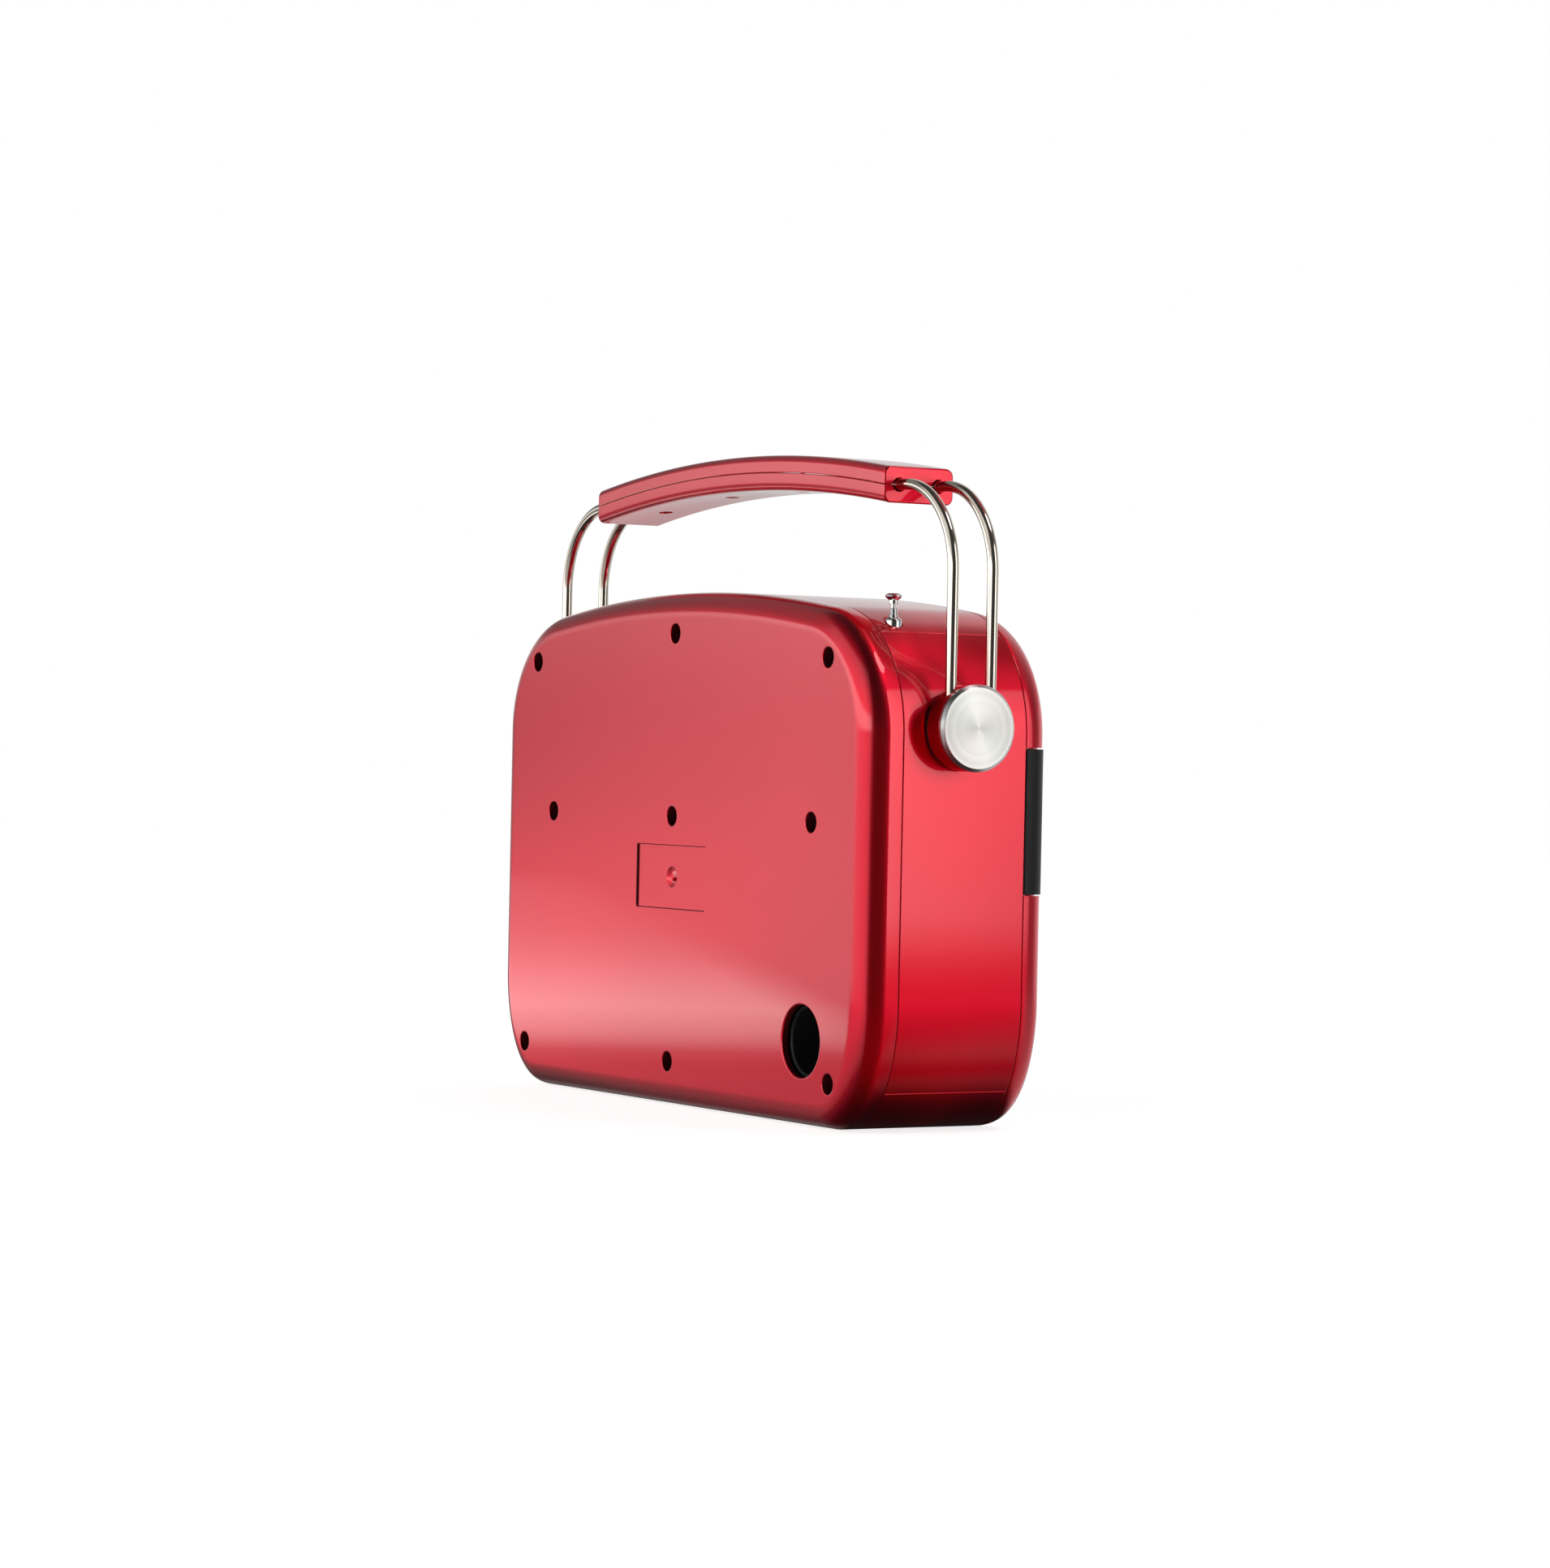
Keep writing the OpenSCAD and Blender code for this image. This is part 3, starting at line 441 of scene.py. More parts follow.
def dress_cad_nodes():
    """Every CAD node gets the material of its slot; the ones replaced later are hidden."""
    for row in frame["record"]["subparts"]:
        node = NODES[row["node"]]
        node.data.materials.clear()
        node.data.materials.append(SLOT_MATERIALS[row["material_slot"]])


# ---------------------------------------------------------------- cabinet
def outline(inset, notches=False):
    """The cabinet's outline in X and Z, counter-clockwise seen from the front, pulled in by inset."""
    corner, arch, groove = 30, 34, 0.16 * MM
    half = []
    for a in spread(-90, 0, corner):
        half.append((FOOT_X + (FOOT_W - inset) * math.cos(math.radians(a)),
                     FOOT_Z + (FOOT_H - inset) * math.sin(math.radians(a))))
    for a in spread(0, CORNER_A, corner):
        half.append((CORNER_X + (CORNER_R - inset) * math.cos(a),
                     CORNER_Z + (CORNER_R - inset) * math.sin(a)))
    for a in spread(CORNER_A, math.pi / 2, arch)[1:-1]:
        half.append(((ARCH_R - inset) * math.cos(a), ARCH_Z + (ARCH_R - inset) * math.sin(a)))
    if notches:  # the mould's parting lines
        for middle in (-44.0, 52.5):
            made = []
            for d, depth in ((-0.22, 0), (0, groove), (0.22, 0)):
                a = math.radians(middle + d)
                if middle < 0:
                    made.append((FOOT_X + (FOOT_W - inset - depth) * math.cos(a),
                                 FOOT_Z + (FOOT_H - inset - depth) * math.sin(a)))
                else:
                    made.append((CORNER_X + (CORNER_R - inset - depth) * math.cos(a),
                                 CORNER_Z + (CORNER_R - inset - depth) * math.sin(a)))
            at = next(k for k, p in enumerate(half) if p[1] > made[-1][1] and p[0] > 0.1)
            while at > 0 and half[at - 1][1] > made[0][1]:
                at -= 1
            half[at:at] = made
    top = [(0.0, ARCH_Z + ARCH_R - inset)]
    return half + top + [(-x, z) for x, z in reversed(half)]


def skin(name, profile, notches=False, loop=False):
    """A shell lofted from (inset, y) pairs."""
    return loft(name, [[(x, y, z) for x, z in outline(inset, notches)] for inset, y in profile], loop=loop)


def seam_edge(seam, side):
    """The small chamfer that makes the dark line at a seam."""
    return [(0.45 * MM, seam), (0.14 * MM, seam + side * 0.14 * MM), (0.0, seam + side * 0.45 * MM)]


def shell(name, seam, flat, straight, inset, side):
    """A closed moulded shell: outer skin, rim at the seam, inner skin."""
    outer = seam_edge(seam, side)
    depth = abs(flat - seam) - straight
    for a in spread(0, math.pi / 2, 22)[0 if straight else 2:]:
        outer.append((inset * (1 - math.cos(a)), seam + side * (straight + depth * math.sin(a))))
    outer += [(inset + 1.2 * MM, flat), (inset + 8 * MM, flat)]
    inner = [(WALL, seam), (WALL + 0.4 * MM, flat - side * 9 * MM if straight else flat - side * 5.5 * MM),
             (WALL + 4 * MM, flat - side * WALL), (WALL + 14 * MM, flat - side * WALL)]
    return skin(name, outer[::-1] + inner)


REAR_STRAIGHT = abs(BACK - REAR_SEAM) - 12 * MM
REAR_INSET = 11 * MM
FRONT_INSET = 7.5 * MM
SCREWS = [(-135.7, 205.3), (0, 217.4), (135.7, 205.3), (-124.0, 133.4), (0, 133.4), (116.6, 133.4),
          (-142.2, 20.5), (0, 20.5), (142.2, 20.5)]
WELL_R = 4.5 * MM
WELL_FLOOR = REAR_SEAM + 3.4 * MM
LABEL_W, LABEL_H, LABEL_Z = 64 * MM, 28.9 * MM, BASE + 105.4 * MM
port_low, port_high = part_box("port_tube")
PORT = ((port_low.x + port_high.x) / 2, (port_low.z + port_high.z) / 2)
PORT_R = (port_high.x - port_low.x) / 2


def rim_cutter(centre, radius, face, chamfer, depth):
    """Cuts a bore with a small rounded lip at the face, which is towards +Y."""
    profile = [(AXIS, face - depth), (radius, face - depth)]
    profile += [(radius + chamfer * (1 - math.cos(a)), face - chamfer + chamfer * math.sin(a))
                for a in spread(0, math.pi / 2, 5)]
    profile += [(radius + chamfer + 0.2 * MM, face + MM), (AXIS, face + MM)]
    return lathe("cutter", profile, (centre[0], 0, centre[1]), "Y", 64)


def rear_cover():
    cover = shell("rear_cover_shell", REAR_SEAM, BACK, REAR_STRAIGHT, REAR_INSET, 1)
    spots = [(x * MM, BASE + z * MM) for x, z in SCREWS]
    tubes = [drill(s, WELL_R + 1.7 * MM, WELL_FLOOR - 2.4 * MM, BACK - 1.5 * MM) for s in spots]
    boolean(cover, [join("tubes", tubes)], "UNION")
    wells = [rim_cutter(s, WELL_R, BACK, 0.5 * MM, BACK - WELL_FLOOR) for s in spots]
    wells.append(rim_cutter(PORT, PORT_R + 0.05 * MM, BACK, 0.9 * MM, BACK - REAR_SEAM))
    boolean(cover, [join("wells", wells)])
    boolean(cover, [join("holes", [drill(s, 2.1 * MM, REAR_SEAM - MM, WELL_FLOOR + MM, 32) for s in spots])])
    edge = 0.35 * MM
    rings = []
    for grow, y in ((0, BACK - 0.8 * MM), (0, BACK - edge), (edge, BACK), (edge, BACK + MM)):
        rings.append(plate_ring((0, LABEL_Z), y, LABEL_W + 2 * grow, LABEL_H + 2 * grow, 0.9 * MM, 4))
    boolean(cover, [loft("recess", rings)])
    gate = lathe("gate", [(AXIS, BACK - 1.9 * MM), (2.2 * MM, BACK - 1.85 * MM), (3.6 * MM, BACK - 1.5 * MM),
                          (4.7 * MM, BACK - 0.95 * MM), (5.2 * MM, BACK - 0.5 * MM), (AXIS, BACK - 0.5 * MM)],
                 (0, 0, LABEL_Z), "Y", 64)
    boolean(cover, [gate])
    finish(weigh(tidy(cover, 30)), "rear_cover_shell", "cabinet", RED, "red_lacquer", "rear_cover")
    # painted shade: the deep insides of the wells and the port, and the label recess walls, take the dark
    # maroon
    cover.data.materials.append(HOLLOW_SHADE_RED)
    for polygon in cover.data.polygons:
        x, y, z = polygon.center
        in_well = any(math.hypot(x - a, z - b) < WELL_R + 0.1 * MM for a, b in spots)
        in_port = math.hypot(x - PORT[0], z - PORT[1]) < PORT_R + 0.1 * MM
        past_label = max(abs(x) - LABEL_W / 2, abs(z - LABEL_Z) - LABEL_H / 2)
        in_rim = abs(polygon.normal.y) < 0.95 and -0.1 * MM < past_label < 0.5 * MM
        if (y < BACK - 1.4 * MM and (in_well or in_port)) or in_rim:
            polygon.material_index = 1
    pip = lathe("gate_pip", [(AXIS, BACK - 1.9 * MM), (0.9 * MM, BACK - 1.9 * MM),
                             (0.8 * MM, BACK - 1.1 * MM),
                             (0.4 * MM, BACK - 0.85 * MM), (AXIS, BACK - 0.8 * MM)], (0, 0, LABEL_Z - MM),
                "Y", 32)
    finish(pip, "gate_pip", "cabinet", RED, "red_lacquer")


def centre_shell():
    outer = seam_edge(FRONT_SEAM, 1) + seam_edge(REAR_SEAM, -1)[::-1]
    made = skin("centre", outer + [(WALL, REAR_SEAM), (WALL, FRONT_SEAM)], True, True)
    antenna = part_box("antenna_tube")
    ax, ay = (antenna[0].x + antenna[1].x) / 2, (antenna[0].y + antenna[1].y) / 2
    hole = lathe("hole", [(AXIS, 0.19), (4.3 * MM, 0.19), (4.3 * MM, 0.26), (AXIS, 0.26)], (ax, ay, 0), "Z",
                 64)
    cutters = [hole]
    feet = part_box("feet")
    for x in (feet[0].x + 7 * MM - 0.1 * MM, feet[1].x - 7 * MM + 0.1 * MM):
        for y in (feet[0].y + 6.9 * MM, feet[1].y - 6.9 * MM):
            cutters.append(lathe("foot", [(AXIS, -MM), (7 * MM, -MM), (7 * MM, BASE + 1.5 * MM),
                                          (AXIS, BASE + 1.5 * MM)],
                                 (x, y, 0), "Z", 64))
    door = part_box("battery_door")
    cutters.append(block("pocket", (door[0].x - 0.3 * MM, door[0].y - 0.3 * MM, -MM),
                         (door[1].x + 12.9 * MM, door[1].y + 0.3 * MM, BASE + 1.6 * MM)))
    for node in ("dc_jack", "headphone_jack"):
        low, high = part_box(node)
        z, y = (low.z + high.z) / 2, (low.y + high.y) / 2
        cutters.append(lathe("jack", [(AXIS, HALF_W - 6 * MM), (3.4 * MM, HALF_W - 6 * MM),
                                      (3.4 * MM, HALF_W - 0.3 * MM),
                                      (3.9 * MM, HALF_W + MM), (AXIS, HALF_W + MM)], (0, y, z), "X", 48))
    boolean(made, [join("cutters", cutters)])
    boolean(made, [block("bay", (door[0].x + 5 * MM, door[0].y + 4 * MM, 0),
                         (door[1].x - 5 * MM, door[1].y - 4 * MM, BASE + 5 * MM))])
    finish(weigh(tidy(made, 30)), "centre_shell_skin", "cabinet", RED, "red_lacquer", "centre_shell")


WINDOW = (284 * MM, 76 * MM, 14 * MM, (0, BASE + 58 * MM))
SCALE_C = (0, (lens_low.z + lens_high.z) / 2)
BUTTONS = [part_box(f"button_{k}") for k in (1, 2, 3)]
BUTTON_Z = (BUTTONS[0][0].z + BUTTONS[0][1].z) / 2


def pillow(name, seam, grow):
    """A solid with the front bezel's outer shape from the seam to its face, grown all round."""
    depth = seam - FRONT + grow
    outer = [(i - grow, y) for i, y in seam_edge(seam, -1)]
    for a in spread(0, math.pi / 2, 22)[1:]:
        outer.append((FRONT_INSET * (1 - math.cos(a)) - grow, seam - depth * math.sin(a)))
    outer += [(FRONT_INSET + flat - grow, FRONT - grow) for flat in (1.2 * MM, 6 * MM)]
    return skin(name, outer)


def wrap(name, grow, inward, low, high):
    """A strip that follows the bezel round from side to side, between two heights."""
    outer = pillow("outer", FRONT_SEAM, grow)
    boolean(outer, [pillow("inner", FRONT_SEAM + 0.5 * MM, -inward)])
    slab = block("slab", (-0.2, FRONT - 20 * MM, low), (0.2, FRONT_SEAM + 5 * MM, high))
    boolean(outer, [slab], "INTERSECT")
    outer.name = name
    return outer


def control_cutters(gap):
    """Cutters for the dial window, the three buttons and the two knob shafts."""
    tools = [panel("w", lens_high.x - lens_low.x + 2 * gap, lens_high.z - lens_low.z + 2 * gap, 3 * MM,
                   SCALE_C, FRONT - 5 * MM, FRONT + 5 * MM)]
    for low, high in BUTTONS:
        tools.append(panel("b", high.x - low.x - 3 * MM + 0.8 * MM, high.z - low.z - 3 * MM + 0.8 * MM,
                           1.4 * MM,
                           ((low.x + high.x) / 2, BUTTON_Z), FRONT - 5 * MM, FRONT + 5 * MM))
    for s in (-1, 1):
        tools.append(drill((s * KNOB.x, KNOB.z), 3.6 * MM, FRONT - 5 * MM, FRONT + 5 * MM))
    return join("controls", tools)


def front_bezel():
    bezel = shell("bezel", FRONT_SEAM, FRONT, 0, FRONT_INSET, -1)
    channel = wrap("channel", 4 * MM, 1.6 * MM, band_low.z - 0.6 * MM, band_high.z + 0.6 * MM)
    boolean(bezel, [channel])
    w, h, r, c = WINDOW
    boolean(bezel, [panel("window", w, h, r, c, FRONT - 5 * MM, FRONT_SEAM, 12)])
    boolean(bezel, [control_cutters(-1.8 * MM)])
    lamp_z = (LAMP[0].z + LAMP[1].z) / 2
    boolean(bezel, [drill((0, lamp_z), 2.6 * MM, FRONT - 5 * MM, FRONT + 5 * MM)])
    finish(weigh(tidy(bezel, 30)), "front_bezel_shell", "cabinet", RED, "red_lacquer", "front_bezel")
    lamp = lathe("lamp", [(AXIS, LAMP[0].y), (1.2 * MM, LAMP[0].y + 0.1 * MM), (2.1 * MM, FRONT - 0.1 * MM),
                          (2.5 * MM, FRONT + 0.4 * MM), (2.5 * MM, LAMP[1].y - 1.2 * MM),
                          (3.3 * MM, LAMP[1].y - 1.2 * MM),
                          (3.3 * MM, LAMP[1].y), (AXIS, LAMP[1].y)], (0, 0, lamp_z), "Y", 48)
    finish(tidy(lamp, 40), "tuning_lamp_lens", "cabinet", POINTER, "pointer_red", "tuning_lamp")


def band():
    panel_skin = wrap("band", 0.4 * MM, 1.4 * MM, band_low.z, band_high.z)
    boolean(panel_skin, [control_cutters(0.2 * MM)])
    bevel(tidy(panel_skin, 40), 0.15 * MM, 2, 50)
    finish(weigh(tidy(panel_skin, 32)), "band_panel_skin", "cabinet", BLACK, "black_satin", "band_panel")


# ---------------------------------------------------------------- front fittings
def grille():
    w, h, r, c = WINDOW
    w, h, r = w - 0.6 * MM, h - 0.6 * MM, r - 0.3 * MM
    front, back = FRONT + 0.8 * MM, FRONT + 3.4 * MM
    rim = 8 * MM
    frame_rings = []
    for inset, y in ((0, back), (0, front + 0.5 * MM), (0.5 * MM, front), (rim - 1.2 * MM, front),
                     (rim, front + 1.0 * MM), (rim, back)):
        frame_rings.append(plate_ring(c, y, w - 2 * inset, h - 2 * inset, r - inset * 0.8, 10))
    parts = [loft("rim", frame_rings, loop=True)]
    pitch, bar = 6.2 * MM, 1.3 * MM
    for k in range(11):
        z = c[1] + (k - 5) * pitch
        span = w / 2 - rim + 1.5 * MM
        section = arc(0, 0, bar, 90, 450, 16)[:-1]
        rings = []
        for x in (-span, span):
            if abs(k - 5) == 5:
                x *= 0.965
            rings.append([(x, front + 0.7 * MM + bar + a * 1.1, z + b) for a, b in section])
        parts.append(loft("bar", rings))
    for x in (-0.25, 0, 0.25):
        width = 3 * MM if x == 0 else 1.1 * MM
        parts.append(block("rib", (x * w - width, front + 0.5 * MM if x == 0 else front + 1.4 * MM,
                                   c[1] - h / 2 + rim - MM),
                           (x * w + width, back, c[1] + h / 2 - rim + MM)))
    made = join("grille_bars", parts)
    bevel(tidy(made, 40), 0.25 * MM, 2, 60)
    tidy(made, 40)
    finish(made, "grille_bars", "cabinet", SILVER, "grille_metal", "grille")
    rings = []
    for inset, y in ((-2 * MM, FRONT), (-1.9 * MM, FRONT - 0.5 * MM), (-1.3 * MM, FRONT - 0.85 * MM),
                     (0.2 * MM, FRONT - 0.9 * MM), (1.1 * MM, FRONT - 0.6 * MM), (1.5 * MM, FRONT + 0.1 * MM),
                     (1.5 * MM, FRONT + 0.7 * MM), (0.1 * MM, FRONT + 0.7 * MM), (0.1 * MM, FRONT)):
        rings.append(plate_ring(c, y, WINDOW[0] - 2 * inset, WINDOW[1] - 2 * inset, WINDOW[2] - inset, 16))
    ring = loft("grille_ring", rings, loop=True)
    finish(tidy(ring, 50), "grille_ring", "cabinet", CHROME, "chrome_trim", "grille_trim")


def knurl(depth, count):
    """Ribs round a knob's skirt, for lathe's flute."""
    def flute(angle, radius):
        rib = depth * (0.5 - 0.5 * math.cos(count * angle))
        return radius - rib if radius > KNOB_R - 1.7 * MM else radius
    return flute


def knobs():
    for side, body in ((-1, "volume"), (1, "tuning")):
        centre = (side * KNOB.x, 0, KNOB.z)
        back = knob_high.y
        profile = [(3 * MM, back - 5 * MM), (3 * MM, back)]
        profile += [(KNOB_R - 0.8 * MM, back), (KNOB_R, back - 0.6 * MM), (KNOB_R, back - 1.8 * MM),
                    (KNOB_R - 0.5 * MM, back - 2.4 * MM), (KNOB_R - 1.0 * MM, back - 2.8 * MM)]
        profile += [(KNOB_R - 1.2 * MM, y) for y in spread(back - 3.4 * MM, KNOB_FRONT + 2.2 * MM, 4)]
        profile += [(KNOB_R - 1.7 * MM, KNOB_FRONT + 1.4 * MM), (KNOB_R - 2.4 * MM, KNOB_FRONT + 1.2 * MM),
                    (3 * MM, KNOB_FRONT + 1.2 * MM), (3 * MM, back - 5 * MM)]
        grip = lathe("knob", profile[:-1], centre, "Y", 384, loop=True, flute=knurl(0.55 * MM, 64))
        finish(tidy(grip, 40), body + "_knob_body", body, BLACK, "black_satin", body + "_knob")
        rim = KNOB_R - 3 * MM
        face = [(AXIS, KNOB_FRONT + 1.15 * MM), (rim, KNOB_FRONT + 1.15 * MM), (rim, KNOB_FRONT + 0.75 * MM),
                (rim - 0.25 * MM, KNOB_FRONT + 0.3 * MM), (rim - 0.8 * MM, KNOB_FRONT),
                (rim - 1.4 * MM, KNOB_FRONT),
                (rim - 1.7 * MM, KNOB_FRONT + 0.25 * MM), (AXIS, KNOB_FRONT + 0.35 * MM)]
        cap = lathe("cap", face, centre, "Y", 128)
        dimple = lathe("dimple", [(AXIS, KNOB_FRONT - MM), (1.4 * MM, KNOB_FRONT - MM),
                                  (1.3 * MM, KNOB_FRONT + 0.4 * MM),
                                  (0.7 * MM, KNOB_FRONT + 0.8 * MM), (AXIS, KNOB_FRONT + 0.9 * MM)],
                       (centre[0], 0, centre[2] + 13 * MM), "Y", 32)
        boolean(cap, [dimple])
        tidy(cap, 30)
        weigh(cap)
        metal = spun_metal(body + "_cap_metal", "Y", centre)
        finish(cap, body + "_knob_face", body, metal, "spun_aluminium", body + "_knob_cap")


def buttons():
    for k, (low, high) in enumerate(BUTTONS, 1):
        centre = ((low.x + high.x) / 2, BUTTON_Z)
        w, h = high.x - low.x - 3 * MM, high.z - low.z - 3 * MM
        rings = []
        for inset, y in ((-1.5 * MM, FRONT + 4.4 * MM), (-1.5 * MM, FRONT + 3.4 * MM), (0, FRONT + 3.4 * MM),
                         (0, low.y + 0.9 * MM), (0.25 * MM, low.y + 0.3 * MM), (0.9 * MM, low.y),
                         (1.8 * MM, low.y), (2.6 * MM, low.y + 0.25 * MM)):
            corner = max(1.2 * MM - inset * 0.3, 0.5 * MM)
            rings.append(plate_ring(centre, y, w - 2 * inset, h - 2 * inset, corner, 6))
        cap = loft("button", rings)
        stem = drill(centre, 1.8 * MM, FRONT + 4 * MM, high.y, 32)
        boolean(cap, [stem], "UNION")
        finish(tidy(cap, 35), f"button_{k}_cap", f"key_{k}", BUTTON, "button_silver", f"button_{k}")


def digits(text, x, z, size, y, name):
    """A generic number of the dial, as flat raised ink."""
    curve = bpy.data.curves.new(name, "FONT")
    curve.body = text
    curve.size = size
    curve.align_x = "CENTER"
    curve.align_y = "CENTER"
    curve.extrude = 0.04 * MM
    curve.resolution_u = 4
    flat = bpy.data.objects.new(name, curve)
    bpy.context.scene.collection.objects.link(flat)
    mesh = bpy.data.meshes.new_from_object(flat.evaluated_get(bpy.context.evaluated_depsgraph_get()))
    bpy.data.objects.remove(flat)
    made = bpy.data.objects.new(name, mesh)
    bpy.context.scene.collection.objects.link(made)
    made.data.transform(Matrix.Translation((x, y, z)) @ Matrix.Rotation(math.pi / 2, 4, "X"))
    return made


def scale():
    face = FRONT + 5.6 * MM - 0.03 * MM
    half = (lens_high.x - lens_low.x) / 2 - 9 * MM
    zc = SCALE_C[1]
    ink = []
    for row, (numbers, z) in enumerate(((("88", "92", "96", "100", "104", "108"), zc + 6.4 * MM),
                                        (("54", "60", "80", "100", "130", "160"), zc - 9.6 * MM))):
        for k, number in enumerate(numbers):
            x = -half + 2 * half * k / (len(numbers) - 1)
            ink.append(digits(number, x, z + 1.2 * MM, 5.2 * MM, face, f"ink_{row}_{k}"))
        for k in range(26):
            x = -half + 2 * half * k / 25
            tall = 3.4 * MM if k % 5 == 0 else 1.8 * MM
            edge = zc + (1.6 if row == 0 else -1.6) * MM
            ends = sorted((edge, edge + (tall if row == 0 else -tall)))
            ink.append(block("tick", (x - 0.16 * MM, face - 0.03 * MM, ends[0]),
                             (x + 0.16 * MM, face + 0.03 * MM, ends[1])))
    ink.append(block("line", (-half - 3 * MM, face - 0.03 * MM, zc - 0.2 * MM),
                     (half + 3 * MM, face + 0.03 * MM, zc + 0.2 * MM)))
    finish(join("dial_numbers", ink), "dial_numbers", "cabinet", INK, "scale_card")
    needle_low, needle_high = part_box("pointer")
    needle = join("needle", [
        block("n", (-0.45 * MM, needle_low.y, needle_low.z),
              (0.45 * MM, needle_low.y + 0.8 * MM, needle_high.z - 4 * MM)),
        block("c", (needle_low.x, needle_low.y, needle_high.z - 4.6 * MM),
              (needle_high.x, needle_low.y + 0.8 * MM, needle_high.z))])
    bevel(tidy(needle, 40), 0.15 * MM, 2, 50)
    finish(tidy(needle, 30), "pointer_needle", "dial_pointer", POINTER, "pointer_red", "pointer")
    lens = panel("lens", lens_high.x - lens_low.x, lens_high.z - lens_low.z, 2.8 * MM, SCALE_C, lens_low.y,
                 lens_high.y)
    bevel(lens, 0.5 * MM, 3, 60)
    finish(tidy(lens, 35), "scale_window", "cabinet", CLEAR, "clear_lens", "scale_lens")


# ---------------------------------------------------------------- rear and underside
def screws():
    heads = []
    for x, z in SCREWS:
        profile = [(AXIS, WELL_FLOOR - 8 * MM), (1.45 * MM, WELL_FLOOR - 7 * MM), (1.45 * MM, WELL_FLOOR),
                   (3.6 * MM, WELL_FLOOR), (3.6 * MM, WELL_FLOOR + 1.1 * MM)]
        profile += [(3.6 * MM * math.cos(a), WELL_FLOOR + (1.1 + 1.3 * math.sin(a)) * MM)
                    for a in spread(0, math.pi / 2, 6)[1:-1]] + [(AXIS, WELL_FLOOR + 2.4 * MM)]
        head = lathe("head", profile, (x * MM, 0, BASE + z * MM), "Y", 48)
        cross = [block("slot", (x * MM - a, WELL_FLOOR + 1.2 * MM, BASE + z * MM - b),
                       (x * MM + a, WELL_FLOOR + 3 * MM, BASE + z * MM + b))
                 for a, b in ((2.0 * MM, 0.45 * MM), (0.45 * MM, 2.0 * MM))]
        heads.append(boolean(head, cross))
    finish(tidy(join("screws", heads), 30), "rear_screw_heads", "cabinet", STEEL, "screw_steel",
           "rear_screws")


def port():
    low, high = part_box("port_tube")
    bore = PORT_R - 1.7 * MM
    lip = 1.4 * MM
    top = high.y - 3 * MM
    profile = [(PORT_R - 0.02 * MM, low.y), (PORT_R - 0.02 * MM, top)]
    profile += [(bore + lip - lip * math.sin(a), top - lip + lip * math.cos(a))
                for a in spread(0, math.pi / 2, 6)]
    profile += [(bore, low.y)]
    tube = lathe("port", profile, (PORT[0], 0, PORT[1]), "Y", 128, loop=True)
    finish(tidy(tube, 40), "bass_port_tube", "cabinet", BLACK, "black_satin", "port_tube")


def feet():
    low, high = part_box("feet")
    r = 6.9 * MM
    pads = []
    for x in (low.x + r, high.x - r):
        for y in (low.y + r, high.y - r):
            pads.append(lathe("pad", [(AXIS, 0), (r - 0.9 * MM, 0), (r - 0.3 * MM, 0.2 * MM), (r, 0.6 * MM),
                                      (r, high.z),
                                      (AXIS, high.z)], (x, y, 0), "Z", 64))
    finish(tidy(join("pads", pads), 35), "rubber_feet", "cabinet", RUBBER, "rubber_black", "feet")


def battery_door():
    low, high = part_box("battery_door")
    plate = block("door", (low.x, low.y, BASE), (high.x, high.y, BASE + 1.4 * MM))
    ridges = [block("ridge", (high.x - (26 - 4 * k) * MM, low.y + 9.7 * MM, -MM),
                    (high.x - (24.4 - 4 * k) * MM, high.y - 9.7 * MM, BASE + 0.5 * MM)) for k in range(4)]
    boolean(plate, [join("ridges", ridges)])
    bevel(tidy(plate, 30), 0.2 * MM, 2, 50)
    inner = block("inner", (low.x + 8 * MM, low.y + 5 * MM, BASE + 1.4 * MM),
                  (high.x - 21 * MM, high.y - 5 * MM, high.z))
    made = join("door", [plate, inner])
    finish(tidy(made, 30), "battery_door_plate", "battery_cover", RED, "red_lacquer", "battery_door")


